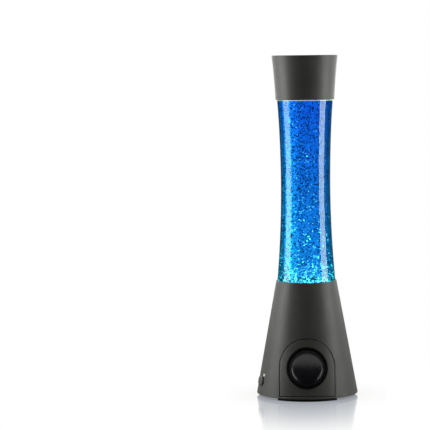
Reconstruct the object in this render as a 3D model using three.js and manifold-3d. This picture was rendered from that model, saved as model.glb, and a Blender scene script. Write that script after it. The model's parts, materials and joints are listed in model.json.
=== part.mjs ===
// A glitter lamp: a waisted glass bottle of glitter fluid, standing in a conical base that holds the
// bulb and a loudspeaker, under a flared cap. Millimetres, +Z up, origin on the floor under the axis.
// The front, where the loudspeaker is, faces -Y. An azimuth is in degrees from the front towards -X.
import * as THREE from 'three';
import { mergeVertices } from 'three/addons/utils/BufferGeometryUtils.js';
import Module from 'manifold-3d';

// Whole object and shared fits
const totalHeight = 380;
const fit = 0.3;
const overrun = 2;

// Base housing
const footHeight = 2.8;
const baseHeight = 126.4;
const baseBottomRadius = 56.5;
const baseRimRadius = 33.7;
const baseWall = 2.4;
const baseEdgeRound = 0.6;
const rimEdgeRound = 0.4;
const collarFit = 0.35;
const shelfDepth = 13.7;
const shelfThickness = 2.5;
const shelfOpeningRadius = 22;

// Bottle and its fluid
const bottleFootRadius = 32.4;
const bottleWaistRadius = 27.5;
const bottleCurveRadius = 1180;
const waistHeight = 120;
const glassWall = 2.2;
const glassFloor = 3;
const puntHeight = 2;
const puntRadius = 21;
const heelRadius = 6;
const shoulderRadius = 14;
const neckRadius = 15;
const neckBlend = 2.3;
const neckHeight = 11;
const fluidFit = 0.2;
const fluidAirGap = 2.2;
const seatThickness = 1.5;
const seatWidth = 4.5;
const seatInset = 0.5;

// Closure of the bottle
const linerThickness = 1.7;
const closureWall = 1.4;
const closureTopThickness = 1.2;
const closureHeight = 13;
const closureEdgeRound = 0.6;

// Cap
const capHeight = 49.3;
const capBottomRadius = 32.7;
const capTopRadius = 36.7;
const capFlareRadius = 33.9;
const capWall = 2.2;
const capTopThickness = 2.4;
const capEdgeRound = 1;
const capOverlap = 1.3;
const capLipRise = 6;
const capLedgeRadius = 27.4;
const capLedgeThickness = 2;

// Speaker panel, in a frame on the cone at the loudspeaker's centre
const speakerHeight = 37;
const archHalfWidth = 30.3;
const archDrop = 30.8;
const archRise = 1.6;
const seamGap = 0.35;
const panelInset = 0.15;
const lipThickness = 1.6;
const lipWidth = 3.2;
const cupWall = 1.8;
const cupDepth = 8.5;
const cupFloorThickness = 2.5;
const speakerOpeningRadius = 19.9;

// Loudspeaker
const ringOuterRadius = 22.6;
const ringInnerRadius = 20.6;
const ringProud = 1;
const ringEdgeRound = 0.7;
const flangeRadius = 22.3;
const flangeThickness = 1.2;
const basketRadius = 19.6;
const basketRearRadius = 15;
const basketDepth = 9.8;
const basketWall = 1;
const basketHoleRadius = 7.5;
const windowCount = 4;
const windowWidth = 9;
const windowHeight = 4.6;
const surroundThickness = 0.4;
const surroundInnerRadius = 18.1;
const surroundRise = 1.2;
const surroundInnerLip = 0.6;
const surroundOuterLip = 1.6;
const coneThickness = 0.5;
const coneDepth = 4.2;
const coneRimRadius = 17.8;
const coneFlatness = 4;
const coilRadius = 4.95;
const coilWall = 0.3;
const coilGap = 0.25;
const coilLength = 10.4;
const spiderThickness = 0.3;
const spiderDrop = 2.4;
const spiderWaves = 3;
const spiderWaveHeight = 0.5;
const topPlateRadius = 11;
const topPlateThickness = 2;
const magnetRadius = 13.5;
const magnetHoleRadius = 6.5;
const magnetThickness = 5;
const yokeRadius = 11.5;
const yokeThickness = 2;
const terminalWidth = 9;
const terminalHeight = 4.6;
const terminalThickness = 1;

// Side button, its board and its indicator, in a frame on the cone at the button's centre
const buttonAzimuth = 73;
const buttonHeight = 18;
const buttonWidth = 16.2;
const buttonTallness = 10.6;
const buttonProud = 1.2;
const buttonCrown = 0.5;
const buttonFlangeWidth = 18.4;
const buttonFlangeTallness = 12.4;
const buttonFlangeDepth = 3.7;
const buttonFlangeThickness = 0.6;
const buttonPostRadius = 2.2;
const buttonPostLength = 0.7;
const buttonTravel = 0.5;
const plungerRadius = 1.6;
const plungerLength = 1.6;
const plungerShown = 0.6;
const switchSide = 6;
const switchHeight = 2.8;
const buttonBoardThickness = 1.6;
const buttonBoardLeft = 15;
const buttonBoardRight = 10;
const buttonBoardBelow = 6;
const buttonBoardAbove = 12;
const boardBossRadius = 2.2;
const boardBossSideX = 12.4;
const boardBossSideY = 0.8;
const boardBossTopX = 0.8;
const boardBossTopY = 9.6;
const indicatorX = 7.4;
const indicatorY = 7.3;
const indicatorRadius = 1.4;
const indicatorFlangeRadius = 2;
const indicatorFlangeDepth = 3.8;
const indicatorFlangeThickness = 0.8;
const indicatorLength = 6.6;
const indicatorSink = 0.1;
const ledRadius = 1.5;

// Bottom cover and feet
const coverThickness = 2.4;
const coverBossRadius = 5;
const coverBossRise = 1.6;
const coverScrewInset = 7.5;
const coverScrewAzimuths = [52, 180, -52];
const pillarRadius = 4;
const pillarHeight = 9;
const pillarRibWidth = 3;
const screwPocketRadius = 3.4;
const screwPocketDepth = 2.2;
const ventCount = 8;
const ventWidth = 2.6;
const ventInnerRadius = 8;
const ventOuterRadius = 18;
const footWidth = 7.5;
const footHalfAngle = 38;
const footAzimuths = [0, 120, -120];
const footInset = 0.3;
const footEdgeRound = 0.5;

// Screws
const screwShankRadius = 1.25;
const screwHeadRadius = 2.6;
const screwHeadHeight = 1.7;
const screwHoleRadius = 1.6;
const pilotRadius = 1.4;
const coverScrewLength = 8;
const bracketScrewLength = 3.6;
const boardScrewLength = 4;
const reflectorScrewLength = 5.6;
const slotWidth = 0.7;
const slotDepth = 0.7;

// Bulb and its holder
const bulbCrownRise = 3;
const bulbRadius = 19.5;
const bulbWall = 0.7;
const bulbCapLength = 19;
const bulbCapRadius = 6.8;
const bulbTipRadius = 2.4;
const bulbTipLength = 3.2;
const threadDepth = 0.4;
const threadTurns = 4;
const stemRadius = 2.2;
const stemLength = 17;
const filamentHalfWidth = 5;
const filamentRise = 7;
const filamentWire = 0.35;
const holderRadius = 13.5;
const holderNeckRadius = 11;
const holderNeckHeight = 6;
const holderBevel = 2;
const holderSeatRise = 14;
const holderMouthDrop = 0.5;
const nippleBoreDepth = 7;
const contactRadius = 3.5;
const contactThickness = 1.1;
const nippleRadius = 5;
const nippleBore = 3.5;
const nippleDrop = 7;
const nutRadius = 8;
const nutThickness = 4;

// Lamp bracket, a bent strap
const bracketRise = 20.3;
const bracketThickness = 1.5;
const bracketHalfSpan = 22;
const bracketFootLength = 12;
const bracketWidth = 14;
const bracketScrewX = 29;
const bracketBossRadius = 4.5;
const bracketBossRise = 3.3;

// Reflector round the bulb
const reflectorDrop = 8;
const reflectorThickness = 0.8;
const reflectorTopRadius = 24;
const reflectorBottomRadius = 15;
const reflectorFlangeRadius = 33;
const reflectorDepth = 43;
const reflectorScrewRadius = 29.5;
const reflectorScrewAzimuths = [90, -90];
const reflectorBossRadius = 3;

// Power inlet at the back
const inletAzimuth = 180;
const inletHeight = 27;
const inletBodyRadius = 5.2;
const inletFlangeRadius = 6.8;
const inletFlangeThickness = 1.2;
const inletDepth = 10;
const inletBoreRadius = 3.2;
const inletBoreDepth = 8.5;
const inletPinRadius = 1;
const inletPinSink = 1;
const inletNutRadius = 7.5;
const inletNutThickness = 2;
const inletNutDepth = 3.3;
const inletTabWidth = 2;
const inletTabThickness = 0.6;
const inletTabLength = 3;
const inletTabOffset = 2.4;

// Audio board on the bottom cover
const boardHalfWidth = 20;
const boardLength = 27;
const boardEdgeGap = 12.5;
const boardThickness = 1.6;
const standoffRise = 5.1;
const standoffRadius = 3;
const standoffX = 16.5;
const standoffEdge = 3.5;
const moduleWidth = 13;
const moduleLength = 14;
const moduleThickness = 2.2;
const moduleX = 12;
const moduleInset = 12;
const chipWidth = 10;
const chipLength = 8;
const chipThickness = 1.8;
const chipX = -1;
const chipInset = 20;
const capacitorRadius = 4;
const capacitorHeight = 8;
const capacitorX = -13;
const capacitorInset = 22;

// Leads held inside the base
const leadRadius = 0.9;
const lampLeadRadius = 1.2;
const leadHump = 3;
const leadLandingStep = 2;
const leadRun = 3.9;
const leadSteps = 14;
const leadSides = 6;
const speakerLeadX = 8;
const speakerLeadInset = 3;
const lampLeadInset = 5;
const inletLeadX = -12;
const inletLeadInset = 13.5;
const buttonLeadStartX = 6;
const buttonLeadX = -17;
const buttonLeadInset = 11;

// Faceting
const shellSegments = 40;
const glassSegments = 28;
const ringSegments = 28;
const smallSegments = 12;
const screwSegments = 8;
const nutSides = 6;
const archSteps = 10;
const endSteps = 3;
const bodySteps = 6;
const flareSteps = 4;
const dishSteps = 5;
const roundSteps = 2;
const bendSteps = 3;
const mergeTolerance = 1e-4;

// Places worked out from the sizes above
const radians = Math.PI / 180;
const rimHeight = footHeight + baseHeight;
const baseEdgeHeight = footHeight + baseEdgeRound;
const coneSlope = (baseBottomRadius - baseRimRadius) / (rimHeight - rimEdgeRound - baseEdgeHeight);
const coneAngle = Math.atan(coneSlope);
const coneRadius = (height) => baseBottomRadius - (height - baseEdgeHeight) * coneSlope;
const collarRadius = bottleFootRadius + collarFit;
const collarBottom = baseEdgeHeight + (baseBottomRadius - baseWall - collarRadius) / coneSlope;
const shelfTop = rimHeight - shelfDepth;
const shelfBottom = shelfTop - shelfThickness;

const bottleBottom = shelfTop + seatThickness;
const waistLevel = bottleBottom + waistHeight;
const capBottom = totalHeight - capHeight;
const shoulderLevel = capBottom + capOverlap;
const neckLevel = shoulderLevel + shoulderRadius + neckBlend;
const neckTop = neckLevel + neckHeight;
const fluidLevel = shoulderLevel - fluidAirGap;

const coverBottom = footHeight;
const coverTop = coverBottom + coverThickness;
const coverScrewTop = coverBottom + screwPocketDepth;
const coverRadius = coneRadius(coverTop) - baseWall - fit;
const coverScrewRadius = coverRadius - coverScrewInset;
const pillarBottom = coverTop + coverBossRise;
const reflectorTop = shelfBottom - reflectorDrop;
const bracketFootBottom = coverTop + bracketBossRise;
const bracketDeckBottom = coverTop + bracketRise;
const holderBottomHeight = bracketDeckBottom + bracketThickness;
const bulbTipHeight = holderBottomHeight + holderSeatRise;
const bulbTop = reflectorTop + bulbCrownRise;
const boardBack = coverRadius - boardEdgeGap;
const boardFront = boardBack - boardLength;
const boardBottom = coverTop + standoffRise;
const boardTop = boardBottom + boardThickness;
const speakerBack = -cupDepth + fit - basketDepth - fit;
const boardSurface = -(buttonFlangeDepth + buttonFlangeThickness + buttonPostLength + fit
  + plungerShown + switchHeight + fit);

const wasm = await Module();
wasm.setup();
const lamp = new THREE.Group();

// Turns a closed three.js geometry into a solid. Its faces are made to point out.
function solidOf(geometry, place = new THREE.Matrix4()) {
  const bare = new THREE.BufferGeometry();
  bare.setAttribute('position', geometry.getAttribute('position').clone());
  bare.setIndex(geometry.getIndex());
  bare.applyMatrix4(place);
  const merged = mergeVertices(bare, mergeTolerance);
  const points = merged.getAttribute('position').array;
  const corners = merged.getIndex().array;
  const triangles = [];
  let volume = 0;
  for (let i = 0; i < corners.length; i += 3) {
    const [a, b, c] = corners.slice(i, i + 3);
    if (a === b || b === c || c === a) continue;
    triangles.push([a, b, c]);
    const [p, q, r] = [a, b, c].map((corner) => new THREE.Vector3().fromArray(points, corner * 3));
    volume += p.dot(q.cross(r));
  }
  const outward = volume > 0 ? triangles : triangles.map(([a, b, c]) => [a, c, b]);
  return new wasm.Manifold(new wasm.Mesh({
    numProp: 3,
    vertProperties: Float32Array.from(points),
    triVerts: Uint32Array.from(outward.flat()),
  }));
}

const join = (first, ...others) => others.reduce((sum, next) => sum.add(next), first);
const cut = (first, ...others) => others.reduce((rest, next) => rest.subtract(next), first);

function piece(name, solid, finish, parent = lamp) {
  const { vertProperties, triVerts } = solid.getMesh();
  const geometry = new THREE.BufferGeometry();
  geometry.setAttribute('position', new THREE.BufferAttribute(vertProperties, 3));
  geometry.setIndex(new THREE.BufferAttribute(triVerts, 1));
  geometry.computeVertexNormals();
  const mesh = new THREE.Mesh(geometry, new THREE.MeshStandardMaterial(finish));
  mesh.name = name;
  parent.add(mesh);
  return mesh;
}

// A solid of revolution about Z. The profile is a list of [radius, height].
function turned(profile, segments, place) {
  const points = profile.map(([radius, height]) => new THREE.Vector2(radius, height));
  return solidOf(new THREE.LatheGeometry(points, segments).rotateX(Math.PI / 2), place);
}

// A ring of revolution: its profile closes on itself.
const turnedRing = (profile, segments, place) => turned([...profile, profile[0]], segments, place);

const rod = (radius, low, high, segments, place) => turned(
  [[0, low], [radius, low], [radius, high], [0, high]], segments, place);

const tube = (inner, outer, low, high, segments, place) => turnedRing(
  [[inner, low], [outer, low], [outer, high], [inner, high]], segments, place);

function extruded(shape, low, high, place, curveSegments = endSteps) {
  const geometry = new THREE.ExtrudeGeometry(shape, {
    depth: high - low, bevelEnabled: false, curveSegments,
  });
  return solidOf(geometry.translate(0, 0, low), place);
}

function block([left, right], [front, back], [low, high], place) {
  const geometry = new THREE.BoxGeometry(right - left, back - front, high - low);
  geometry.translate((left + right) / 2, (front + back) / 2, (low + high) / 2);
  return solidOf(geometry, place);
}

// Points on an arc, as [radius, height], from one angle to another in degrees.
function arc(centreRadius, centreHeight, radius, from, to, steps = roundSteps) {
  return Array.from({ length: steps + 1 }, (_, i) => {
    const angle = (from + (to - from) * i / steps) * radians;
    return [centreRadius + radius * Math.cos(angle), centreHeight + radius * Math.sin(angle)];
  });
}

const at = (x, y, z = 0) => new THREE.Matrix4().makeTranslation(x, y, z);

const around = (azimuth, radius, height = 0) => at(
  -radius * Math.sin(azimuth * radians), -radius * Math.cos(azimuth * radians), height);

// A frame on the cone's face: +Z out of the face, +Y up the slope, X level.
function coneFrame(azimuth, height) {
  const turn = new THREE.Group();
  const face = new THREE.Group();
  turn.rotation.z = -azimuth * radians;
  face.position.set(0, -coneRadius(height), height);
  face.rotation.x = Math.PI / 2 - coneAngle;
  turn.add(face);
  lamp.add(turn);
  face.updateWorldMatrix(true, false);
  return face;
}

const speakerFrame = coneFrame(0, speakerHeight);
const buttonFrame = coneFrame(buttonAzimuth, buttonHeight);
const inletFrame = coneFrame(inletAzimuth, inletHeight);

const inFrame = (frame, x = 0, y = 0) => frame.matrixWorld.clone().multiply(at(x, y));

const finishes = {
  satinPlastic: { color: 0x5a5c56, roughness: 0.5, metalness: 0 },
  blackPlastic: { color: 0x141414, roughness: 0.45, metalness: 0 },
  blackRubber: { color: 0x0c0c0c, roughness: 0.7, metalness: 0 },
  glossBlack: { color: 0x1a1a1c, roughness: 0.25, metalness: 0 },
  clearGlass: { color: 0xe6f2f8, roughness: 0.03, metalness: 0, transparent: true, opacity: 0.3 },
  blueFluid: { color: 0x0e72dc, roughness: 0.1, metalness: 0, transparent: true, opacity: 0.6 },
  silicone: { color: 0xd8d8d2, roughness: 0.6, metalness: 0 },
  aluminium: { color: 0xc4c6c8, roughness: 0.3, metalness: 1 },
  steel: { color: 0xa0a2a4, roughness: 0.35, metalness: 1 },
  brass: { color: 0xc9a255, roughness: 0.3, metalness: 1 },
  copper: { color: 0xb8673a, roughness: 0.35, metalness: 1 },
  ferrite: { color: 0x2c2c2e, roughness: 0.7, metalness: 0.2 },
  amberCloth: { color: 0xb07a34, roughness: 0.8, metalness: 0 },
  board: { color: 0x1e5a34, roughness: 0.5, metalness: 0 },
  ceramic: { color: 0xe8e4da, roughness: 0.5, metalness: 0 },
  frosted: { color: 0xf4f4f0, roughness: 0.4, metalness: 0, transparent: true, opacity: 0.8 },
  whitePlastic: { color: 0xf2f2f0, roughness: 0.4, metalness: 0 },
  redInsulation: { color: 0xa01c18, roughness: 0.5, metalness: 0 },
};

// A pan-head screw along +Z: its head lies below the origin and its shank above.
function screw(length) {
  const crown = screwHeadHeight / 2;
  const head = turned([
    [0, -screwHeadHeight], [screwHeadRadius - crown, -screwHeadHeight], [screwHeadRadius, -crown],
    [screwHeadRadius, 0], [screwShankRadius, 0], [screwShankRadius, length - screwShankRadius],
    [0, length],
  ], screwSegments);
  const slot = block([-screwHeadRadius, screwHeadRadius], [-slotWidth / 2, slotWidth / 2],
    [-screwHeadHeight - overrun, -screwHeadHeight + slotDepth]);
  return cut(head, slot);
}

function addScrew(name, length, place, pointsDown = false) {
  const mesh = piece(name, screw(length), finishes.steel);
  if (pointsDown) place.multiply(new THREE.Matrix4().makeRotationX(Math.PI));
  place.decompose(mesh.position, mesh.quaternion, mesh.scale);
}

// The bottle's outer radius: one long arc about the waist, and straight at its foot.
function bottleRadius(height) {
  const rise = height - waistLevel;
  const curve = bottleCurveRadius - Math.sqrt(bottleCurveRadius ** 2 - rise ** 2);
  const radius = bottleWaistRadius + curve;
  return rise < 0 ? Math.min(bottleFootRadius, radius) : radius;
}

const shoulderStart = bottleRadius(shoulderLevel);
const shoulderCentre = shoulderStart - shoulderRadius;

// The body's side from the heel up, a given distance inside the outer face.
function bodySide(inset, bottom, top) {
  const curve = bottleFootRadius - bottleWaistRadius;
  const reach = Math.sqrt(bottleCurveRadius ** 2 - (bottleCurveRadius - curve) ** 2);
  const arcStart = waistLevel - reach;
  const heel = arc(bottleFootRadius - heelRadius, bottom + heelRadius - inset,
    heelRadius - inset, -90, 0);
  const side = Array.from({ length: bodySteps + 1 }, (_, i) => {
    const height = arcStart + (top - arcStart) * i / bodySteps;
    return [bottleRadius(height) - inset, height];
  });
  return [...heel, ...side];
}

const shoulder = (inset) => arc(shoulderCentre, shoulderLevel, shoulderRadius - inset, 0, 90, bendSteps);

function makeBottle() {
  const outer = [
    [0, bottleBottom + puntHeight], [puntRadius, bottleBottom],
    ...bodySide(0, bottleBottom, shoulderLevel),
    ...shoulder(0).slice(1),
    [neckRadius, neckLevel], [neckRadius, neckTop],
  ];
  const inner = [
    [0, bottleBottom + puntHeight + glassFloor],
    ...bodySide(glassWall, bottleBottom + glassFloor, shoulderLevel),
    ...shoulder(glassWall).slice(1),
    [neckRadius - glassWall, neckLevel - glassWall], [neckRadius - glassWall, neckTop],
  ];
  piece('glass_bottle', turned([...outer, ...inner.reverse()], glassSegments), finishes.clearGlass);

  const inset = glassWall + fluidFit;
  const floor = bottleBottom + glassFloor;
  const fluid = [
    [0, floor + puntHeight + fluidFit],
    ...bodySide(inset, floor, fluidLevel),
    [0, fluidLevel],
  ];
  piece('glitter_fluid', turned(fluid, glassSegments), finishes.blueFluid);
}

function makeClosure() {
  const linerTop = neckTop + linerThickness;
  const top = linerTop + closureTopThickness;
  const bottom = top - closureHeight;
  const inner = neckRadius + fit;
  const outer = inner + closureWall;
  piece('closure_liner', rod(neckRadius, neckTop, linerTop, glassSegments), finishes.silicone);
  piece('bottle_closure', turned([
    [0, top], [outer - closureEdgeRound, top], [outer, top - closureEdgeRound], [outer, bottom],
    [inner, bottom], [inner, linerTop], [0, linerTop],
  ], glassSegments), finishes.aluminium);
}

// The cap's outer radius is a quadratic curve from its bottom edge to its top.
function flare(height) {
  const share = (height - capBottom) / capHeight;
  const rest = 1 - share;
  return capBottomRadius * rest ** 2 + 2 * capFlareRadius * rest * share + capTopRadius * share ** 2;
}

function makeCap() {
  const lipRadius = shoulderStart + collarFit;
  const lipTop = shoulderLevel + capLipRise;
  const ledgeBottom = shoulderLevel + fit
    + Math.sqrt(shoulderRadius ** 2 - (capLedgeRadius - shoulderCentre) ** 2);
  const ledgeTop = ledgeBottom + capLedgeThickness;
  const ceiling = totalHeight - capTopThickness;
  const edgeTop = totalHeight - capEdgeRound;
  const edgeBottom = capBottom + capEdgeRound / 2;
  const flareLine = Array.from({ length: flareSteps + 1 }, (_, i) => {
    const height = edgeTop + (edgeBottom - edgeTop) * i / flareSteps;
    return [flare(height), height];
  });
  const profile = [
    [0, totalHeight],
    ...arc(flare(edgeTop) - capEdgeRound, edgeTop, capEdgeRound, 90, 0).slice(0, -1),
    ...flareLine,
    [flare(edgeBottom) - capEdgeRound / 2, capBottom], [lipRadius, capBottom], [lipRadius, lipTop],
    [flare(lipTop) - capWall, lipTop], [flare(ledgeBottom) - capWall, ledgeBottom],
    [capLedgeRadius, ledgeBottom], [capLedgeRadius, ledgeTop],
    [flare(ledgeTop) - capWall, ledgeTop], [flare(ceiling) - capWall, ceiling], [0, ceiling],
  ];
  piece('top_cap', turned(profile, shellSegments), finishes.satinPlastic);
}

// The arch-shaped prism through the cone's face, in the speaker's frame.
function archPrism(grow) {
  const half = archHalfWidth + grow;
  const bottom = -archDrop - Math.min(grow, seamGap);
  const outline = new THREE.Shape();
  outline.moveTo(-half, bottom);
  outline.lineTo(half, bottom);
  outline.lineTo(half, archRise);
  outline.absarc(0, archRise, half, 0, Math.PI);
  outline.closePath();
  const depth = coneRadius(speakerHeight) / 2;
  return extruded(outline, -depth, depth, inFrame(speakerFrame), archSteps);
}

// A cone-shaped shell between two distances inside the base's outer face.
function coneShell(outset, inset, low = baseEdgeHeight) {
  const high = shelfBottom;
  return turnedRing([
    [coneRadius(low) - outset, low], [coneRadius(high) - outset, high],
    [coneRadius(high) - inset, high], [coneRadius(low) - inset, low],
  ], shellSegments);
}

function stadium(width, height) {
  const round = height / 2;
  const straight = width / 2 - round;
  const outline = new THREE.Shape();
  outline.moveTo(-straight, -round);
  outline.lineTo(straight, -round);
  outline.absarc(straight, 0, round, -Math.PI / 2, Math.PI / 2);
  outline.absarc(-straight, 0, round, Math.PI / 2, Math.PI * 3 / 2);
  return outline;
}

const boardBosses = [[-boardBossSideX, boardBossSideY], [boardBossTopX, boardBossTopY]];
const throughWall = [-baseWall - overrun, overrun];

function housingShell() {
  const inner = (height) => coneRadius(height) - baseWall;
  return turnedRing([
    [coneRadius(baseEdgeHeight) - baseEdgeRound, footHeight],
    [coneRadius(baseEdgeHeight), baseEdgeHeight],
    [baseRimRadius, rimHeight - rimEdgeRound],
    [baseRimRadius - rimEdgeRound, rimHeight],
    [collarRadius, rimHeight],
    [collarRadius, collarBottom],
    [inner(shelfTop), shelfTop],
    [shelfOpeningRadius, shelfTop],
    [shelfOpeningRadius, shelfBottom],
    [inner(shelfBottom), shelfBottom],
    [inner(coverTop), coverTop],
    [inner(coverTop), footHeight],
  ], shellSegments);
}

// The whole cone, a given distance inside the base's outer face.
function coneSolid(inset) {
  return turned([
    [0, baseEdgeHeight], [coneRadius(baseEdgeHeight) - inset, baseEdgeHeight],
    [coneRadius(shelfBottom) - inset, shelfBottom], [0, shelfBottom],
  ], shellSegments);
}

// A pillar for a cover screw, tied to the wall by a rib.
function pillar(azimuth) {
  const top = pillarBottom + pillarHeight;
  const turn = new THREE.Matrix4().makeRotationZ(-azimuth * radians);
  const half = [-pillarRibWidth / 2, pillarRibWidth / 2];
  return join(
    rod(pillarRadius, pillarBottom, top, smallSegments, around(azimuth, coverScrewRadius)),
    block(half, [-baseBottomRadius, -coverScrewRadius], [pillarBottom, top], turn),
  );
}

function makeHousing() {
  const pillars = coverScrewAzimuths.map(pillar);
  const pillarHoles = coverScrewAzimuths.map((azimuth) => rod(pilotRadius, pillarBottom - overrun,
    coverScrewTop + coverScrewLength + fit, screwSegments, around(azimuth, coverScrewRadius)));
  const reflectorBosses = reflectorScrewAzimuths.map((azimuth) => rod(reflectorBossRadius,
    reflectorTop, shelfBottom + shelfThickness / 2, smallSegments, around(azimuth, reflectorScrewRadius)));
  const reflectorHoles = reflectorScrewAzimuths.map((azimuth) => rod(pilotRadius,
    reflectorTop - overrun, reflectorTop + reflectorScrewLength, screwSegments,
    around(azimuth, reflectorScrewRadius)));
  const bosses = boardBosses.map(([x, y]) => rod(boardBossRadius, boardSurface + fit, 0,
    smallSegments, inFrame(buttonFrame, x, y)));
  const fixings = join(...pillars, ...bosses).intersect(coneSolid(baseWall / 2));
  const bossHoles = boardBosses.map(([x, y]) => rod(pilotRadius, boardSurface - overrun,
    boardSurface - buttonBoardThickness + boardScrewLength + fit, screwSegments,
    inFrame(buttonFrame, x, y)));
  const buttonHole = extruded(stadium(buttonWidth + 2 * fit, buttonTallness + 2 * fit),
    ...throughWall, inFrame(buttonFrame));
  const indicatorHole = rod(indicatorRadius + fit, ...throughWall, smallSegments,
    inFrame(buttonFrame, indicatorX, indicatorY));
  const inletHole = rod(inletBodyRadius + fit, ...throughWall, smallSegments, inFrame(inletFrame));
  const housing = cut(
    join(housingShell(), fixings, ...reflectorBosses),
    archPrism(seamGap), buttonHole, indicatorHole, inletHole,
    ...pillarHoles, ...reflectorHoles, ...bossHoles,
  );
  piece('base_housing', housing, finishes.satinPlastic);
}

function makeSpeakerPanel() {
  const skin = archPrism(0).intersect(coneShell(panelInset, baseWall + fit + lipThickness));
  const lip = archPrism(lipWidth).intersect(
    coneShell(baseWall + fit, baseWall + fit + lipThickness, coverTop + fit));
  const cupRadius = ringOuterRadius + fit;
  const cupBack = -cupDepth - cupFloorThickness;
  const cup = rod(cupRadius + cupWall, cupBack, ringProud + overrun, ringSegments, inFrame(speakerFrame))
    .intersect(coneSolid(panelInset));
  const bore = rod(cupRadius, -cupDepth, ringProud + overrun * 2, ringSegments, inFrame(speakerFrame));
  const opening = rod(speakerOpeningRadius, cupBack - overrun, overrun, ringSegments,
    inFrame(speakerFrame));
  const coverRoom = rod(coverRadius + fit, 0, coverTop + fit, shellSegments);
  piece('speaker_panel', cut(join(skin, lip, cup), bore, opening, coverRoom), finishes.satinPlastic);
}

function makeBottleSeat() {
  const inner = shelfOpeningRadius + seatInset;
  const seat = tube(inner, inner + seatWidth, shelfTop, bottleBottom, ringSegments);
  piece('bottle_seat_ring', seat, finishes.silicone);
}

function makeReflector() {
  const bottom = reflectorTop - reflectorDepth;
  const top = reflectorTop - reflectorThickness;
  const shade = turnedRing([
    [reflectorTopRadius, reflectorTop], [reflectorFlangeRadius, reflectorTop],
    [reflectorFlangeRadius, top], [reflectorTopRadius + reflectorThickness, top],
    [reflectorBottomRadius + reflectorThickness, bottom], [reflectorBottomRadius, bottom],
  ], ringSegments);
  const holes = reflectorScrewAzimuths.map((azimuth) => rod(screwHoleRadius, top - overrun,
    reflectorTop + overrun, screwSegments, around(azimuth, reflectorScrewRadius)));
  piece('reflector', cut(shade, ...holes), finishes.aluminium);
  reflectorScrewAzimuths.forEach((azimuth, i) => {
    addScrew(`reflector_screw_${i + 1}`, reflectorScrewLength, around(azimuth, reflectorScrewRadius, top));
  });
}

function arcPad(azimuth) {
  const outer = coverRadius - footInset;
  const middle = (-90 - azimuth) * radians;
  const half = footHalfAngle * radians;
  const outline = new THREE.Shape();
  outline.absarc(0, 0, outer - footEdgeRound, middle - half, middle + half);
  outline.absarc(0, 0, outer - footWidth + footEdgeRound, middle + half, middle - half, true);
  outline.closePath();
  const geometry = new THREE.ExtrudeGeometry(outline, {
    depth: footHeight - footEdgeRound,
    bevelThickness: footEdgeRound,
    bevelSize: footEdgeRound,
    bevelSegments: 1,
    curveSegments: archSteps / 2,
  });
  const pad = solidOf(geometry.translate(0, 0, footEdgeRound));
  const above = block([-baseBottomRadius, baseBottomRadius], [-baseBottomRadius, baseBottomRadius],
    [footHeight, footHeight + overrun]);
  return cut(pad, above);
}

function makeCoverAndFeet() {
  const disc = rod(coverRadius, coverBottom, coverTop, shellSegments);
  const screwBosses = coverScrewAzimuths.map((azimuth) => rod(coverBossRadius,
    coverBottom + coverThickness / 2, pillarBottom, smallSegments, around(azimuth, coverScrewRadius)));
  const pockets = coverScrewAzimuths.map((azimuth) => rod(screwPocketRadius,
    coverBottom - overrun, coverScrewTop, smallSegments, around(azimuth, coverScrewRadius)));
  const screwHoles = coverScrewAzimuths.map((azimuth) => rod(screwHoleRadius, coverBottom,
    pillarBottom + overrun, screwSegments, around(azimuth, coverScrewRadius)));
  const bracketPlaces = [-1, 1].map((side) => at(side * bracketScrewX, 0));
  const bracketBosses = bracketPlaces.map((place) => rod(bracketBossRadius,
    coverBottom + coverThickness / 2, bracketFootBottom, smallSegments, place));
  const bracketHoles = bracketPlaces.map((place) => rod(pilotRadius,
    bracketFootBottom + bracketThickness - bracketScrewLength - fit, bracketFootBottom + overrun,
    screwSegments, place));
  const standoffPlaces = [[-1, boardFront + standoffEdge], [1, boardBack - standoffEdge]]
    .map(([side, y]) => at(side * standoffX, y));
  const standoffs = standoffPlaces.map((place) => rod(standoffRadius,
    coverBottom + coverThickness / 2, boardBottom, smallSegments, place));
  const standoffHoles = standoffPlaces.map((place) => rod(pilotRadius,
    boardTop - boardScrewLength - fit, boardBottom + overrun, screwSegments, place));
  const vents = Array.from({ length: ventCount }, (_, i) => extruded(
    stadium(ventOuterRadius - ventInnerRadius, ventWidth), coverBottom - overrun, coverTop + overrun,
    new THREE.Matrix4().makeRotationZ((i + 0.5) * 2 * Math.PI / ventCount)
      .multiply(at((ventInnerRadius + ventOuterRadius) / 2, 0))));
  const cover = cut(
    join(disc, ...screwBosses, ...bracketBosses, ...standoffs),
    ...pockets, ...screwHoles, ...bracketHoles, ...standoffHoles, ...vents,
  );
  piece('bottom_cover', cover, finishes.blackPlastic);
  coverScrewAzimuths.forEach((azimuth, i) => {
    addScrew(`cover_screw_${i + 1}`, coverScrewLength, around(azimuth, coverScrewRadius, coverScrewTop));
  });
  const footNames = ['foot_front', 'foot_left', 'foot_right'];
  footAzimuths.forEach((azimuth, i) => piece(footNames[i], arcPad(azimuth), finishes.blackRubber));
}

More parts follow.
